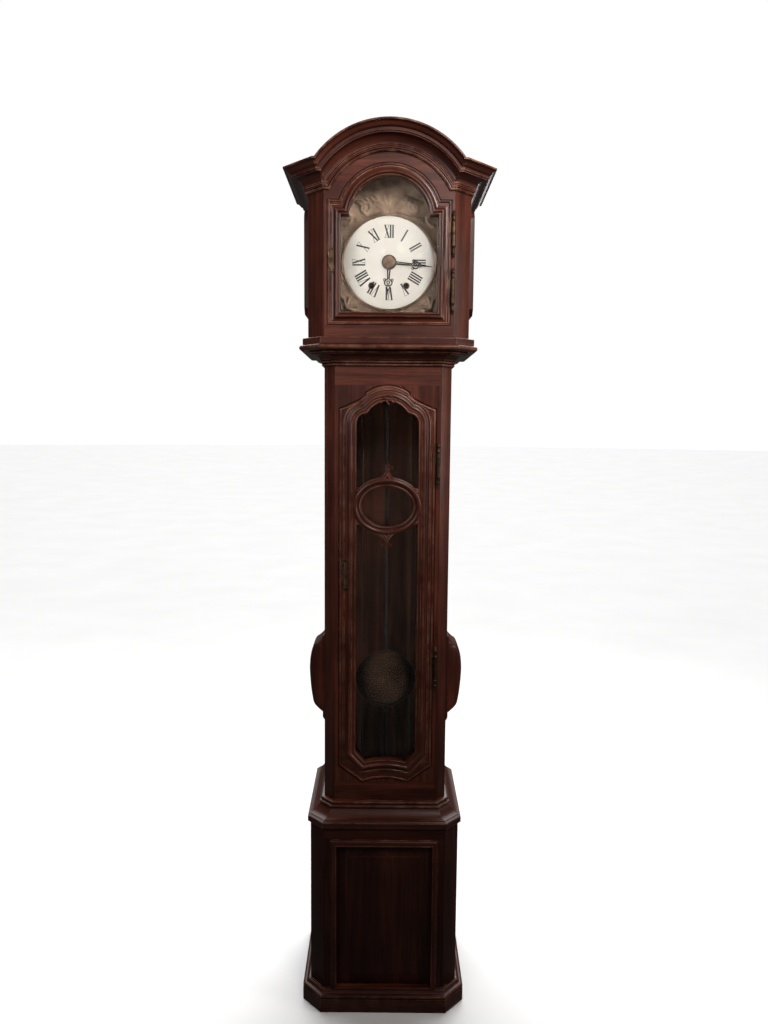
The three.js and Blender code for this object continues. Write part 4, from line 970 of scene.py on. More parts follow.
def sight_head():
    """The glass edge from the right shoulder over the arched top to the middle."""
    shoulder, step = SIGHT_SHOULDER, (SIGHT_STEP_HALF, SIGHT_SHOULDER + SIGHT_STEP_RISE)
    return path(
        (SIGHT_HALF, shoulder),
        curve((SIGHT_HALF, shoulder), (SIGHT_HALF - 3, shoulder + SIGHT_STEP_RISE - 3), step),
        curve(step, (33, SIGHT_TOP), (0, SIGHT_TOP), steps=14),
    )


def sight_foot():
    """The glass edge from the bottom middle out to the right side, over the cut corner."""
    top, cut = SIGHT_FOOT + SIGHT_FOOT_ARCH, SIGHT_HALF - SIGHT_CUT_WIDTH
    return path(
        curve((0, top), (cut / 2, top), (cut, SIGHT_FOOT), steps=8),
        (SIGHT_HALF, SIGHT_FOOT + SIGHT_CUT_RISE),
    )


def sight_outline():
    """The whole edge of the door's opening, anticlockwise from the bottom middle."""
    return mirror_line(path(sight_foot(), sight_head()))


def door_outline(inset):
    """The long door's edge, moved inwards, anticlockwise from the bottom middle."""
    half, top, foot = DOOR_HIGH[0], DOOR_HIGH[2], DOOR_LOW[2]
    ear, step = (half, DOOR_EAR_Z), (DOOR_STEP_HALF, DOOR_STEP_Z + DOOR_STEP_RISE)
    foot_top = foot + DOOR_FOOT_ARCH
    right = path(
        curve((0, foot_top), (DOOR_FOOT_HALF / 2, foot_top), (DOOR_FOOT_HALF, foot), steps=8),
        (half, DOOR_CORNER_Z), ear,
        curve(ear, (92, DOOR_EAR_Z + 14), (DOOR_STEP_HALF, DOOR_STEP_Z)), step,
        curve(step, (33.5, top), (0, top)),
    )
    outline = mirror_line(right)
    return outline - mitres(outline, True) * inset


def ogee_line(sign):
    """The lunette block's edge from the right side to its point, up or down."""
    side, neck, tip = (OVAL_Z + sign * rise for rise in (OGEE_SIDE, OGEE_NECK, OGEE_TIP))
    inward = SIGHT_HALF - OGEE_REACH
    return curve((SIGHT_HALF, side), (inward, side), (OGEE_NECK_HALF, neck), (0, tip), steps=22)


def trunk_door_mouldings():
    """The stepped moulding round the door's opening, and a small bead just inside its edge."""
    section = profile(
        (-0.5, -4), (-0.5, 6.8), arc(1.5, 7.4, 2, 180, 0, 7), (4, 7.25), (10.4, 7.2),
        (10.8, 5.6), arc(15.4, 5.2, 4.9, 175, 0, 10), (20.6, 3.4), (22.4, 3.0),
        curve((22.8, 3.0), (24.4, 0.9), (28, 0.8), steps=6), arc(30.4, 1.0, 1.7, 180, 0, 6),
        (32.6, 0.9), (35, 0.6), (35.4, -0.4),
    )
    moulding = front_run("trunk_door_moulding", sight_outline(), section, TRUNK_FRONT)
    put(moulding, "trunk_door", "walnut_run", "walnut")
    bead = profile((-3, -0.4), (-2.6, 0.7), arc(0, 0.7, 2.2, 180, 0, 7), (3, 0.7), (3.4, -0.4))
    edge = front_run("trunk_door_edge", door_outline(4.5), bead, TRUNK_FRONT)
    put(edge, "trunk_door", "walnut_run", "walnut")


def points_of(piece):
    """A piece's points, in metres, as rows of X, Y and Z."""
    points = np.zeros(len(piece.data.vertices) * 3)
    piece.data.vertices.foreach_get("co", points)
    return points.reshape(-1, 3)


def end_at_middle(bar, side):
    """Draws back to the middle plane whatever passes it, so that two bars meet in a mitre."""
    points = points_of(bar)
    points[:, 0] = side * np.maximum(side * points[:, 0], 0)
    bar.data.vertices.foreach_set("co", points.ravel())


def sink_under_rim(bar, rim_width=12):
    """Drops into the door whatever lies inside the oval rim's middle ellipse."""
    points = points_of(bar)
    across = points[:, 0] / MM / (OVAL_A + rim_width)
    upward = (points[:, 2] / MM - OVAL_Z) / (OVAL_B + rim_width)
    under = across ** 2 + upward ** 2 < 1
    points[:, 1] = np.where(under, (TRUNK_FRONT + 2) * MM, points[:, 1])
    bar.data.vertices.foreach_set("co", points.ravel())


def lunette():
    """The oval rim and the two ogee bars that join it to the door's sides."""
    angle = np.linspace(0, TAU, 96, endpoint=False)
    oval = np.column_stack([OVAL_A * np.cos(angle), OVAL_Z + OVAL_B * np.sin(angle)])
    section = profile(
        (-0.5, -4), (-0.5, 6.8), arc(1.8, 7.6, 2.3, 180, 0, 7), (4.8, 6.6), (5.6, 4.4), (7.4, 4.6),
        arc(14.4, 7.0, 6.8, 190, -10, 17), (21.8, 4.6), (23.0, 4.0), (24.0, -0.4),
    )
    rim = front_run("lunette_rim", oval, section, TRUNK_FRONT)
    put(rim, "trunk_door", "walnut_run", "walnut")
    bar = profile(
        (-0.5, -4), (-0.5, 6.8), arc(1.6, 7.5, 2.1, 180, 0, 7), (4.2, 7.3),
        arc(7.6, 7.2, 3.2, 180, 0, 8), (11.2, 7.0), (11.6, -0.4),
    )
    for name, sign in (("upper", 1), ("lower", -1)):
        parts = []
        for side in (1, -1):
            line = ogee_line(sign) * [side, 1]
            line = line if sign * side < 0 else line[::-1]
            part = front_run(f"ogee_{name}_{side}", line, bar, TRUNK_FRONT, closed=False)
            end_at_middle(part, side)
            sink_under_rim(part)
            parts.append(part)
        put(merge(f"lunette_ogee_{name}", parts), "trunk_door", "walnut_run", "walnut")


trunk_door_mouldings()
lunette()

# ------------------------------------------------------------------ carving and scrollwork
def spiral(x, z, start_r, end_r, start, end, y, steps=26):
    """A flat spiral about x, z: its radius falls evenly while its angle turns, in degrees."""
    a = np.radians(np.linspace(start, end, steps))
    r = np.linspace(start_r, end_r, steps)
    return np.column_stack([x + r * np.cos(a), np.full(steps, y), z + r * np.sin(a)])


def taper(steps, thick, power=0.8):
    """A thickness that swells in the middle of a stroke and thins to its ends."""
    return thick * (0.22 + 0.78 * np.sin(np.linspace(0.08, math.pi - 0.3, steps)) ** power)


def strokes(name, lines, thick, flat=0.7):
    """Carved or cast strokes: tapered tubes along flat lines, joined into one piece."""
    parts = []
    for i, (line, share) in enumerate(lines):
        parts.append(tube(f"{name}_{i}", line, taper(len(line), thick * share), 10, flat))
    return merge(name, parts)


def flip_x(line, x=0.0):
    """The mirror image of a line about an upright through x."""
    return line * [-1, 1, 1] + [2 * x, 0, 0]


def stroke_line(y, *points, steps=20):
    """A Bezier stroke drawn in X and Z at depth y."""
    flat = curve(*points, steps=steps)
    return np.column_stack([flat[:, 0], np.full(steps, y), flat[:, 1]])


def door_carving():
    """Curled leaves on the lunette's points and a lopsided scroll under the door's arch."""
    y = TRUNK_FRONT - 8.5
    lines = []
    for sign, size in ((1, 1.0), (-1, 0.9)):
        tip = OVAL_Z + sign * (OGEE_TIP - 2)
        above = tip + sign * 5
        end = (3.5 * size, tip + sign * 15 * size)
        leaf = stroke_line(y, (0, tip - sign * 2), (5 * size, above), end)
        curl = spiral(10.5 * size, above, 5.5 * size, 1.4, -150 * sign, 190 * sign, y, 24)
        stem = stroke_line(y, (1, tip - sign * 9), (3, tip - sign * 1), (6 * size, tip + sign * 2.5))
        lines += [(leaf, 0.8), (flip_x(leaf), 0.8), (curl, 0.7), (flip_x(curl), 0.7)]
        lines += [(stem, 1.0), (flip_x(stem), 1.0)]
    piece = strokes("lunette_leaves", lines, 2.4)
    put(piece, "trunk_door", "walnut_z", "walnut")
    top = SIGHT_TOP
    crest = [
        (stroke_line(y, (-20, top + 4), (-8, top + 12), (2, top + 1), (13, top + 6)), 1.0),
        (spiral(14, top + 1, 6.5, 1.5, 80, -250, y, 24), 0.9),
        (spiral(-18, top - 1, 5.5, 1.5, 110, 400, y, 22), 0.8),
        (stroke_line(y, (-4, top + 5), (-2, top - 6), (6, top - 10)), 0.8),
        (stroke_line(y, (0, top + 6), (6, top + 14), (15, top + 15)), 0.7),
        (stroke_line(y, (-6, top + 6), (-12, top + 15), (-4, top + 19)), 0.6),
    ]
    put(strokes("door_crest", crest, 3.3), "trunk_door", "walnut_z", "walnut")


def escutcheon(node, body, face_y):
    """A cast keyhole plate: a scalloped ground edged with C and S scrolls and a shell at each end."""
    low, high = span(node)
    x, z = (low[0] + high[0]) / 2, (low[2] + high[2]) / 2
    w, h = (high[0] - low[0]) / 2 + 3, (high[2] - low[2]) / 2
    angle = np.linspace(0, TAU, 64, endpoint=False)
    wave = 0.80 + 0.13 * np.cos(4 * angle) - 0.07 * np.cos(12 * angle)
    ground = np.column_stack([x + w * np.sin(angle) * wave, z + h * 0.86 * np.cos(angle)])[::-1]
    plate = flat_plate(node + "_ground", ground, face_y - GAP - 2.2, face_y - GAP, 0.8)
    y = face_y - 3.0
    lines = []
    for sign in (1, -1):
        side = stroke_line(
            y, (x + sign * w * 0.3, z + h * 0.78), (x + sign * w * 1.5, z + h * 0.5),
            (x + sign * w * 0.4, z + h * 0.2), (x + sign * w * 0.75, z + h * 0.02), steps=22,
        )
        low_side = stroke_line(
            y, (x + sign * w * 0.75, z + h * 0.04), (x + sign * w * 1.3, z - h * 0.3),
            (x + sign * w * 0.2, z - h * 0.5), (x + sign * w * 0.5, z - h * 0.78), steps=22,
        )
        lines += [(side, 1.0), (low_side, 0.95)]
        sweep = sign * 330
        upper_x, lower_x = x + sign * w * 0.5, x + sign * w * 0.42
        lines.append((spiral(upper_x, z + h * 0.16, w * 0.32, 0.8, 90, 90 + sweep, y), 0.6))
        lines.append((spiral(lower_x, z - h * 0.66, w * 0.3, 0.8, -90, -90 - sweep, y), 0.6))
        for lobe in (-0.9, -0.3, 0.3, 0.9):
            foot = (x + lobe * w * 0.25, z + sign * h * 0.70)
            tip = (x + lobe * w * 0.62, z + sign * h * (0.99 - 0.10 * abs(lobe)))
            lines.append((stroke_line(y, foot, tip, steps=9), 0.7))
    cast = strokes(node + "_scrolls", lines, 2.1, 0.8)
    hole = tube(node + "_lip", spiral(x, z + 1, 3.2, 3.2, 0, 350, y - 0.4, 24), 0.9, 8)
    slot_line = stroke_line(y - 0.2, (x, z - 2), (x, z - 11), steps=8)
    keyway = tube(node + "_keyway", slot_line, 1.3, 8)
    piece = merge(node + "_cast", [plate, cast, hole, keyway])
    put(piece, body, "cast_bronze", "bronze", node)


door_carving()
escutcheon("hood_door_escutcheon", "hood_door", HOOD_FRONT)
escutcheon("trunk_door_escutcheon", "trunk_door", TRUNK_FRONT)

# ------------------------------------------------------------------ hinges
def hinge_half(node, body, axis_x, axis_y, radius, finial_up):
    """Half a barrel hinge: a long turned barrel with rings and an acorn at its outer end, and
    the leaf that holds it."""
    low, high = span(node)
    z0, z1 = low[2], high[2]
    length = z1 - z0
    r = radius
    line = profile(
        (0.01, 0), (r * 0.92, 0), (r, 0.8), (r, 2.2), (r * 0.8, 2.8), (r * 0.8, 3.4), (r, 4),
        (r, length * 0.50), (r * 0.8, length * 0.51), (r * 0.98, length * 0.54),
        (r * 0.8, length * 0.57), (r * 0.62, length * 0.62), (r * 0.6, length * 0.70),
        arc(0, length * 0.80, r * 0.86, -40, 40, 9), (r * 0.52, length * 0.89),
        (r * 0.6, length * 0.91), (r * 0.36, length * 0.95), (0.01, length),
    )
    if not finial_up:
        line = line * [1, -1] + [0, length]
    barrel = turned(node + "_barrel", line, (axis_x, axis_y, z0), segments=24)
    face_y = axis_y + radius
    inner, outer = (z0 + 4, z0 + length * 0.5) if finial_up else (z0 + length * 0.5, z1 - 4)
    far = low[0] if body != "case" else high[0]
    near = axis_x + (1.5 if body != "case" else -1.5)
    xs = sorted([near, far])
    corners = np.array([[xs[0], inner], [xs[1], inner], [xs[1], outer], [xs[0], outer]])
    leaf = flat_plate(node + "_leaf", corners, face_y - 2, face_y - 0.05, 0.4)
    put(merge(node + "_turned", [barrel, leaf]), body, "bronze", "bronze", node)


def hinges():
    """Two hinges a door: the knuckle goes with the door, the pintle with the case."""
    for stage, body in (("hood", "hood_door"), ("trunk", "trunk_door")):
        for level in ("lower", "upper"):
            knuckle, pintle = f"{stage}_hinge_{level}_knuckle", f"{stage}_hinge_{level}_pintle"
            low, high = span(knuckle)
            radius = (high[1] - low[1]) / 2
            axis_x, axis_y = high[0] - radius, low[1] + radius
            hinge_half(knuckle, body, axis_x, axis_y, radius, True)
            hinge_half(pintle, "case", axis_x, axis_y, radius, False)


hinges()

# ------------------------------------------------------------------ dial
SURROUND_LOW, SURROUND_HIGH = span("dial_surround")
SURROUND_Y = SURROUND_LOW[1]
SURROUND_ARCH_R = 118.0
SURROUND_EAR = 14.0
SURROUND_ARCH_Z = SURROUND_HIGH[2] - SURROUND_ARCH_R
DIAL_SEGMENTS = 128
DOME_EDGE, DOME_RISE = 2.6, 3.4    # the enamel's front: height at its edge, and its rise


def relief_strokes():
    """Foliage for the embossed brass, as flat lines: corner sprays, side scrolls, arch crest."""
    lines = []
    half, foot = SURROUND_HIGH[0], SURROUND_LOW[2]
    for sign in (1, -1):
        corner = np.array([sign * (half - 18), foot + 18])
        inward = np.array([-sign, 1.0])
        for bend, reach in ((18, 46), (-18, 46), (0, 34), (34, 28), (-34, 28)):
            side = np.array([sign * bend * 0.5, bend * 0.5])
            end = corner + inward * reach * 0.35 + side * 1.1
            lines.append(curve(corner, corner + inward * 6 + side * 0.4, end, steps=14))
        top = np.array([sign * (half - 14), DIAL_Z + 96])
        hook = [top + [-sign * dx, dz] for dx, dz in ((0, 0), (26, 6), (20, 34), (2, 30))]
        lines.append(curve(*hook, steps=20))
        lines.append(spiral(top[0] - sign * 9, top[1] + 22, 9, 2, 0, sign * 400, 0)[:, [0, 2]])
        scroll_z = SURROUND_ARCH_Z + 32
        arm = [(sign * x, scroll_z + dz) for x, dz in ((14, 0), (40, 44), (84, 6), (62, -16))]
        lines.append(curve(*arm, steps=30))
        lines.append(spiral(sign * 60, scroll_z + 2, 17, 3, -90, -90 + sign * 480, 0, 36)[:, [0, 2]])
        under = [(sign * x, scroll_z - dz) for x, dz in ((20, 8), (44, 24), (88, 26))]
        lines.append(curve(*under, steps=20))
        for k in range(5):
            root = np.array([sign * (30 + 11 * k), scroll_z + 20 - 3.5 * k])
            lines.append(curve(root, root + [sign * 3, 8], root + [sign * 10, 13 - k], steps=9))
            low_root = np.array([sign * (34 + 11 * k), scroll_z - 20 - 1.2 * k])
            lines.append(curve(low_root, low_root + [sign * 4, -6], low_root + [sign * 10, -7], steps=8))
    for k in range(-3, 4):
        angle = math.radians(90 - 22 * k)
        root = np.array([0, SURROUND_ARCH_Z + 24])
        tip = root + np.array([math.cos(angle), math.sin(angle)]) * (44 - 3 * abs(k))
        lines.append(curve(root + (tip - root) * 0.2, tip, steps=12))
    return np.concatenate(lines)


def ridge(distance, centre, width):
    """A raised line, one high at its centre, that falls off by a bell curve."""
    return np.exp(-((distance - centre) / width) ** 2)


def dial_surround():
    """Stamped brass sheet between the enamel's edge and the arched outline: a point is a share of
    the way from the circle to the outline, and stands proud near a foliage line by a bell curve."""
    steps, rings = 420, 74
    half, foot = SURROUND_HIGH[0], SURROUND_LOW[2]
    angle = np.linspace(0, TAU, steps, endpoint=False)
    direction = np.column_stack([np.cos(angle), np.sin(angle)])
    side = half / np.maximum(np.abs(direction[:, 0]), 1e-6)
    down = (DIAL_Z - foot) / np.maximum(-direction[:, 1], 1e-6)
    rise = SURROUND_ARCH_Z - DIAL_Z
    middle = rise * direction[:, 1]
    arch = middle + np.sqrt(np.maximum(middle ** 2 - rise ** 2 + SURROUND_ARCH_R ** 2, 0))
    ledge = (rise + SURROUND_EAR) / np.maximum(direction[:, 1], 1e-6)
    square = np.minimum(side, ledge)
    reach = np.where(direction[:, 1] < 0, np.minimum(side, down), np.maximum(square, arch))
    inner = DIAL_R - 4
    share = np.linspace(0, 1, rings)
    radius = inner + (reach[None] - inner) * share[:, None]
    x, z = radius * direction[:, 0], DIAL_Z + radius * direction[:, 1]
    lines = relief_strokes()
    nearest = np.full(x.shape, 1e9)
    for part in np.array_split(lines, max(1, len(lines) // 40)):
        gap = (x[..., None] - part[:, 0]) ** 2 + (z[..., None] - part[:, 1]) ** 2
        nearest = np.minimum(nearest, gap.min(-1))
    foliage, foliage_spread = 3.0, 10.0
    proud = foliage * np.exp(-nearest / foliage_spread)
    ring = radius - DIAL_R
    proud += 1.6 * ridge(ring, 8, 2.4)
    bead_count = 90
    beads = 0.5 + 0.5 * np.cos(angle[None] * bead_count)
    proud += 0.9 * beads * ridge(ring, 13.5, 1.6)
    edge = reach[None] - radius
    proud += 1.2 * ridge(edge, 5, 1.8)
    proud += 0.25 * np.sin(x * 0.9) * np.sin(z * 0.9)
    front = np.stack([x, SURROUND_Y - proud, z], -1)
    back = np.stack([x[[-1, 0]], np.full((2, steps), SURROUND_Y + 1.0), z[[-1, 0]]], -1)
    piece = skin("surround_relief", np.vstack([front, back]), close_rows=True, sharp=80)
    put(piece, "case", "embossed", "embossed_brass", "dial_surround")


def enamel_disc():
    """A gently domed disc with a rounded edge, and a brass bezel round it."""
    centre, r = (0, DIAL_HIGH[1], DIAL_Z), DIAL_R
    dome = np.linspace(r - 2.5, 9.5, 14)
    front = np.column_stack([dome, -DOME_EDGE - DOME_RISE * (1 - (dome / r) ** 2)])
    line = profile(
        (8.6, 0), (r, 0), (r + 0.2, -0.9), (r - 0.6, -1.9), (r - 1.8, -2.4), front, (8.6, -5.6),
    )
    piece = turned("enamel_dome", line, centre, "y", DIAL_SEGMENTS, 40)
    close_tube(piece, len(line), DIAL_SEGMENTS)
    put(piece, "case", "enamel", "enamel", "enamel_dial")
    line = profile(
        (r - 1, -1), (r + 0.5, -3.4), (r + 3, -4.6), (r + 5.6, -3.6), (r + 6.6, -1), (r + 6.6, 1),
        (r - 1, 1),
    )
    bezel = turned("dial_bezel", line, centre, "y", DIAL_SEGMENTS)
    close_tube(bezel, len(line), DIAL_SEGMENTS)
    put(bezel, "case", "embossed", "embossed_brass")


def close_tube(piece, rows, columns):
    """Turns a capped turned piece into a ring, by joining its last row to its first."""
    work = bmesh.new()
    work.from_mesh(piece.data)
    work.faces.ensure_lookup_table()
    work.verts.ensure_lookup_table()
    caps = [f for f in work.faces if len(f.verts) > 4]
    bmesh.ops.delete(work, geom=caps, context="FACES_ONLY")
    work.verts.ensure_lookup_table()
    for c in range(columns):
        d = (c + 1) % columns
        last = (rows - 1) * columns
        work.faces.new([work.verts[last + c], work.verts[last + d], work.verts[d], work.verts[c]])
    bmesh.ops.recalc_face_normals(work, faces=work.faces)
    work.to_mesh(piece.data)
    work.free()
    piece.data.polygons.foreach_set("use_smooth", np.ones(len(piece.data.polygons), bool))


NUMERALS = ("XII", "I", "II", "III", "IIII", "V", "VI", "VII", "VIII", "IX", "X", "XI")
STROKE = {
    "I": [((0, 0), (0, 1), 1.0)],
    "V": [((-0.5, 1), (0, 0), 1.0), ((0.5, 1), (0, 0), 0.3)],
    "X": [((-0.5, 1), (0.5, 0), 1.0), ((0.5, 1), (-0.5, 0), 0.3)],
}
WIDTH = {"I": 6.4, "V": 13.0, "X": 13.0}
NUMERAL_FOOT, NUMERAL_HEIGHT, NUMERAL_STROKE = 63.0, 34.0, 4.1
NUMERAL_SLICES = 5


def dome_y(x, z):
    """Front of the enamel at a place on the dial."""
    share = (x ** 2 + (z - DIAL_Z) ** 2) / DIAL_R ** 2
    return DIAL_HIGH[1] - DOME_EDGE - DOME_RISE * (1 - share)


def numeral_bars(text):
    """The strokes and serifs of a numeral, as pairs of ends and widths, centred and upright."""
    total = sum(WIDTH[c] for c in text)
    x = -total / 2
    bars = []
    for c in text:
        w = WIDTH[c]
        middle = x + w / 2
        for (x0, z0), (x1, z1), share in STROKE[c]:
            a = (middle + x0 * w * 0.8, z0 * NUMERAL_HEIGHT)
            b = (middle + x1 * w * 0.8, z1 * NUMERAL_HEIGHT)
            bars.append((a, b, NUMERAL_STROKE * share))
        for z in (0.4, NUMERAL_HEIGHT - 0.4):
            reach = w * (0.46 if c == "I" else 0.5)
            if not (c == "V" and z < 1):
                bars.append(((middle - reach, z), (middle + reach, z), 0.7))
        x += w
    return bars


def numerals():
    """Flat strokes laid on the dome, each numeral turned so that its foot faces the centre."""
    vertices, faces = [], []
    for hour, text in enumerate(NUMERALS):
        a = TAU * hour / 12
        out = np.array([math.sin(a), math.cos(a)])
        side = np.array([math.cos(a), -math.sin(a)])
        for start, end, width in numeral_bars(text):
            start, end = np.array(start), np.array(end)
            along = (end - start) / np.linalg.norm(end - start)
            across = np.array([-along[1], along[0]]) * width / 2
            t = np.linspace(0, 1, NUMERAL_SLICES)[:, None]
            middle = start + (end - start) * t
            both = np.stack([middle - across, middle + across], 1)
            flat = both[..., :1] * side + (both[..., 1:] + NUMERAL_FOOT) * out
            x, z = flat[..., 0], DIAL_Z + flat[..., 1]
            y = dome_y(x, z)
            top = np.stack([x, y - 0.12, z], -1)
            under = np.stack([x, y + 0.3, z], -1)
            ring = np.concatenate([top, under[:, ::-1]], 1)
            first = len(vertices)
            vertices += ring.reshape(-1, 3).tolist()
            faces += grid_faces(NUMERAL_SLICES, 4, False, True, first)
            last = first + 4 * (NUMERAL_SLICES - 1)
            faces += [[first + i for i in (0, 1, 2, 3)], [last + i for i in (3, 2, 1, 0)]]
    piece = make_object("hour_numerals", vertices, faces)
    put(piece, "case", "ink", "enamel")


def winding_collars():
    """A turned collar round each winding hole, and the dark end of the winding square in it."""
    well = [(0.01, -0.5), (6.6, -0.5), (6.6, 1.6), (0.01, 1.6)]
    for side, x in (("left", -WINDING_X), ("right", WINDING_X)):
        y = dome_y(x, WINDING_Z)
        line = [(6.2, 2), (6.2, -0.9), (7.0, -1.6), (8.2, -1.2), (8.8, 0.2), (8.8, 2)]
        ring = turned(f"winding_collar_{side}", line, (x, y, WINDING_Z), "y", 40)
        close_tube(ring, len(line), 40)
        put(ring, "case", "boss", "brass")
        disc = turned(f"winding_well_{side}", well, (x, y, WINDING_Z), "y", 32)
        put(disc, "case", "blued", "blued_steel")


dial_surround()
enamel_disc()
numerals()
winding_collars()

# ------------------------------------------------------------------ hands
MINUTE_ANGLE, HOUR_ANGLE = 95.5, 182.0
MINUTE_LENGTH = span("minute_hand")[1][0]
HOUR_LENGTH = DIAL_Z - span("hour_hand")[0][2]
HAND_WIRE, TIP_SHARE = 1.35, 1.5   # radius of a hand's strokes, and the tip's mark among them
MINUTE_Y = span("minute_hand")[0][1] + 2.6
HOUR_Y = span("hour_hand")[0][1] + 0.8


def aim(line, degrees, y):
    """Turns a hand drawn pointing up, in X and Z from the centre, clockwise by an angle."""
    a = math.radians(degrees)
    x = line[:, 0] * math.cos(a) + line[:, 1] * math.sin(a)
    z = -line[:, 0] * math.sin(a) + line[:, 1] * math.cos(a)
    return np.column_stack([x, np.full(len(x), y), DIAL_Z + z])


def hand_lines(length, hub, swell, mid):
    """Pierced hand: twin stems, a ring of loops two thirds out and a spear tip."""
    lines = []
    foot, crown = mid - swell, mid + swell * 0.9
    for sign in (1, -1):
        wide = sign * swell
        neck = (sign * 1.8, foot)
        stem = curve((sign * 3.4, hub - 2), (sign * 2.0, hub + (mid - hub) * 0.5), neck, steps=14)
        loop = curve(
            neck, (wide * 1.7, mid - swell * 0.3), (wide * 1.2, mid + swell), (0, crown), steps=22,
        )
        petal = curve(
            (0, mid - swell * 0.5), (wide * 0.8, mid - swell * 0.2), (0, mid + swell * 0.6), steps=14,
        )
        small = curve((0, crown), (wide * 0.9, mid + swell * 1.3), (0, mid + swell * 2.0), steps=14)
        eye = (wide * 1.05, mid - swell * 0.8)
        curl = spiral(*eye, swell * 0.45, 0.8, 90, 90 - sign * 360, 0, 18)[:, [0, 2]]
        lines += [(stem, 1.1), (loop, 1.0), (petal, 0.8), (small, 0.8), (curl, 0.7)]
    lines.append((curve((0, mid + swell * 1.9), (0, length), steps=16), TIP_SHARE))
    return lines


def make_hand(body, name, length, hub, swell, mid, degrees, y):
    """A hand of fine tubes along its lines, with a turned collar; the tip alone tapers."""
    parts = []
    for i, (line, share) in enumerate(hand_lines(length, hub, swell, mid)):
        steps = len(line)
        radius = HAND_WIRE * share * np.ones(steps)
        if share > TIP_SHARE - 0.1:
            radius = np.linspace(2.1, 0.5, steps)
        parts.append(tube(f"{name}_{i}", aim(line, degrees, y), radius, 8, 0.6))
    line = [(0.01, -1.4), (hub - 1.2, -1.4), (hub, -0.6), (hub, 0.8), (0.01, 0.8)]
    parts.append(turned(name + "_collar", line, (0, y, DIAL_Z), "y", 40))
    put(merge(name + "_openwork", parts), body, "blued", "blued_steel", body)


def hand_boss():
    """The domed bronze boss that covers the hands' centre, and its nut."""
    y = span("minute_hand")[0][1] + 1.6
    line = [
        (0.01, -3.2), (1.6, -3.1), (2.8, -2.4), (3.0, -1.4), (8, -1.9), (13, -1.6), (17, -0.6),
        (19, 1.0), (19.4, 2.2), (0.01, 2.2),
    ]
    piece = turned("hand_boss", line, (0, y, DIAL_Z), "y", 56)
    put(piece, "minute_hand", "boss", "blued_steel")


make_hand("minute_hand", "minute_tracery", MINUTE_LENGTH, 8, 8.5, 70, MINUTE_ANGLE, MINUTE_Y)
make_hand("hour_hand", "hour_tracery", HOUR_LENGTH, 17, 9.0, 52, HOUR_ANGLE, HOUR_Y)
hand_boss()

# ------------------------------------------------------------------ glass
def drawn_in(outline, distance):
    """The outline moved inwards. A point that lands too near the outline, as at a cusp, goes to
    the middle of its good neighbours, counted along the outline."""
    inner = outline - mitres(outline, True) * distance
    ends = np.roll(outline, -1, 0)
    t = np.linspace(0, 1, 9)[:, None, None]
    dense = (outline + (ends - outline) * t).reshape(-1, 2)
    near = np.linalg.norm(inner[:, None] - dense[None], axis=2).min(1)
    good = np.flatnonzero(near > distance * 0.97)
    count = len(outline)
    index = np.arange(count)
    return np.column_stack([np.interp(index, good, inner[good, k], period=count) for k in (0, 1)])


def bevelled_pane(name, outline, body, node, bevel):
    """A pane whose front slopes from a thin edge up to the flat, with flat front and back."""
    low, high = span(node)
    front, back = low[1], high[1]
    inner = drawn_in(np.asarray(outline, float), bevel)
    rows = [(inner, back), (outline, back), (outline, back - 1.4), (inner, front)]
    grid = [np.column_stack([p[:, 0], np.full(len(p), y), p[:, 1]]) for p, y in rows]
    piece = skin(name, np.array(grid), sharp=1)
    put(piece, body, "glass", "glass", node)


def panes():
    """The hood's eared pane, and the long door's panes above, in and below the oval."""
    hood = eared_arch(
        HOOD_SIGHT_HALF - GAP, HOOD_SIGHT_FOOT + GAP, HOOD_STEP_Z - GAP, HOOD_ARCH_Z,
        HOOD_SIGHT_R - GAP,
    )
    bevelled_pane("hood_pane", hood, "hood_door", "hood_door_glass", 6)
    angle = np.linspace(0, TAU, 72, endpoint=False)
    oval = np.column_stack([(OVAL_A - GAP) * np.cos(angle), OVAL_Z + (OVAL_B - GAP) * np.sin(angle)])
    bevelled_pane("oval_pane", oval, "trunk_door", "trunk_door_glass_oval", 15)
    upper = mirror_line(path(ogee_line(1)[::-1], sight_head()))
    bevelled_pane("upper_pane", drawn_in(upper, GAP), "trunk_door", "trunk_door_glass_upper", 14)
    lower = mirror_line(path(sight_foot(), ogee_line(-1)))
    bevelled_pane("lower_pane", drawn_in(lower, GAP), "trunk_door", "trunk_door_glass_lower", 20)


panes()

# ------------------------------------------------------------------ pendulum, weights, bell
def foot_of(node):
    """The middle of the underside of a frame node's box."""
    low, high = span(node)
    return (low[0] + high[0]) / 2, (low[1] + high[1]) / 2, low[2]


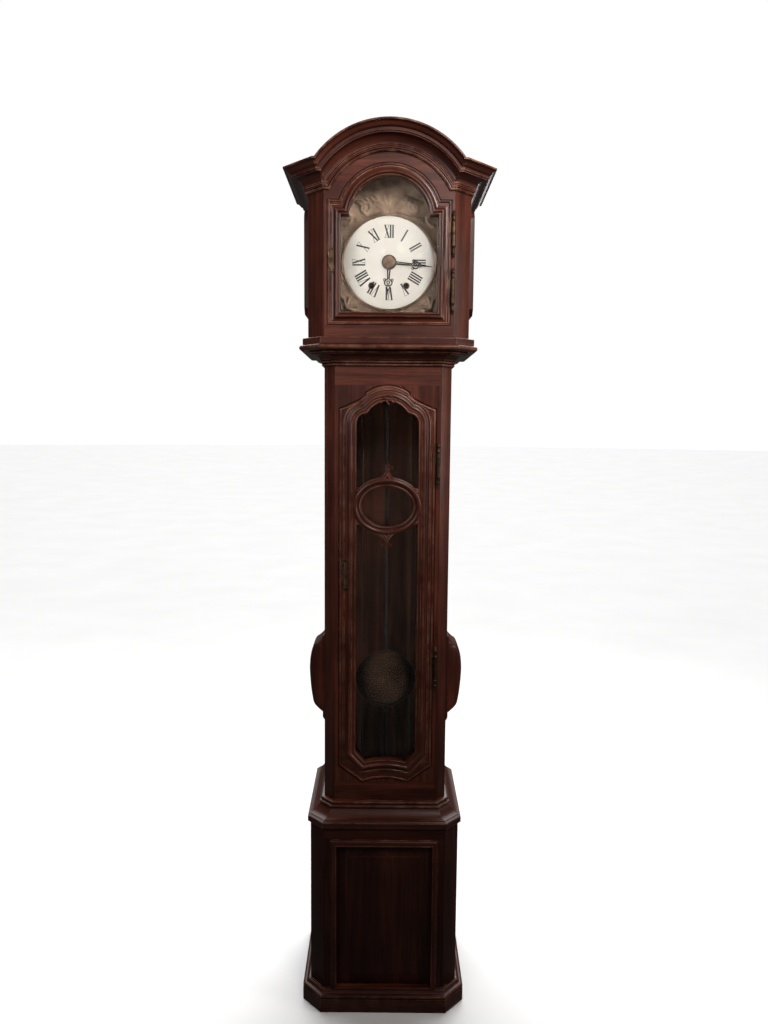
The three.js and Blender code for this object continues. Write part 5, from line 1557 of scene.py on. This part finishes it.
def pendulum():
    """A lens-shaped bob, its two faces a cosine across the radius, and the nut that sets it."""
    low, high = span("pendulum_bob")
    z, y = (low[2] + high[2]) / 2, (low[1] + high[1]) / 2
    r, half = (high[0] - low[0]) / 2, (high[1] - low[1]) / 2
    t = np.linspace(0, math.pi / 2, 18)
    front = np.column_stack([(r - 5) * np.sin(t), -half * np.cos(t) ** 0.9])
    front[0, 0] = 0.01
    front[-1, 1] = -2.6
    rim = arc(r - 3.2, 0, 3.2, -60, 60, 7)
    line = profile(front, (r - 4.5, -3.4), rim, (r - 4.5, 3.4), front[::-1] * [1, -1])
    piece = turned("bob_lens", line, (0, y, z), "y", 96)
    line = [(0.01, -3.5), (5, -3.2), (9, -1.5), (10, 1), (0.01, 1)]
    boss = turned("bob_boss", line, (0, y - half + 1, z), "y", 40)
    put(merge("bob_turned", [piece, boss]), "pendulum", "shaded_bob_brass", "brass", "pendulum_bob")
    line = [
        (0.01, 0), (2.6, 0.4), (3, 1), (3, 8), (6.8, 8.4), (8, 9.6), (8, 13.6), (6.8, 14.8),
        (3, 15.2), (3, 19.6), (0.01, 19.6),
    ]
    nut = turned("rating_nut_turned", line, foot_of("rating_nut"), segments=32)
    put(nut, "pendulum", "shaded_bob_brass", "brass", "rating_nut")


HOOK_HEIGHT = 30                   # on top of each weight
CORD_STEPS = 90


def weights_and_cords():
    """Turned cylinders with a groove and a hook, each on a straight cord."""
    for side in ("left", "right"):
        body = f"weight_{side}"
        low, high = span(body)
        x, y, z0 = foot_of(body)
        r, height = (high[0] - low[0]) / 2, high[2] - low[2] - HOOK_HEIGHT
        line = profile(
            (0.01, 0), (r - 5, 0), arc(r - 4, 4, 4, -90, 0, 6), (r, 14), (r - 1.2, 15),
            (r - 1.2, 18), (r, 19), (r, height - 16), arc(r - 7, height - 8, 7, 0, 90, 7),
            (10, height), (8, height + 3), (4.5, height + 5), (3.4, height + 12),
            (3.4, height + 26), (2.4, height + HOOK_HEIGHT), (0.01, height + HOOK_HEIGHT),
        )
        put(turned(f"{body}_cast", line, (x, y, z0), segments=48), body, "iron", "iron", body)
        low, high = span(f"weight_cord_{side}")
        z = np.linspace(low[2], high[2], CORD_STEPS)
        cord_line = np.column_stack([np.full(CORD_STEPS, x), np.full(CORD_STEPS, y), z])
        cord = tube(f"cord_{side}_laid", cord_line, (high[0] - low[0]) / 2, 10)
        put(cord, "case", "hemp", "hemp", f"weight_cord_{side}")
        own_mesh(cord)


def bell():
    """A thin cup, mouth down, whose two walls are Bezier curves, on a central post with a nut."""
    low, high = span("bell")
    r = (high[0] - low[0]) / 2
    outer = curve((r, 12), (r * 0.86, 26), (r * 0.74, 50), (8, 55), steps=16)
    inner = curve((4.2, 50), (r * 0.70, 45), (r * 0.80, 26), (r - 3, 12), steps=16)
    line = profile(
        (0.01, 0), (4, 0), (4, 49), inner, (r - 1.5, 11.4), outer, (6, 56), (7.4, 59), (5, 62),
        (0.01, 63),
    )
    put(turned("bell_cast", line, foot_of("bell"), segments=64), "case", "brass", "brass", "bell")


pendulum()
weights_and_cords()
bell()

# ------------------------------------------------------------------ finishes of the frame's own nodes
NODE_FINISH = {
    "trunk_frame": ["trunk_front_frame"],
    "hood_frame": ["hood_front_frame"],
    "base_frame": ["base_front_frame"],
    "hood_door_wood": ["hood_door_frame"],
    "trunk_door_wood": ["trunk_door_frame"],
    "walnut_z": ["hood_side_left", "hood_side_right"],
    "panel_z": ["trunk_side_left", "trunk_side_right", "base_side_left", "base_side_right"],
    "back_planks": ["back_board"],
    "carcass_x": ["base_floor", "hood_roof", "seat_board"],
    "iron": ["movement_frame", "bell_hammer"],
    "blued": ["pendulum_rod"],
    "brass": ["drum_left", "drum_right"],
}


def dress_nodes():
    """Gives each frame node that stays in sight its finish."""
    for finish, nodes in NODE_FINISH.items():
        for node in nodes:
            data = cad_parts[node].data
            data.materials.clear()
            data.materials.append(FINISH[finish])


dress_nodes()
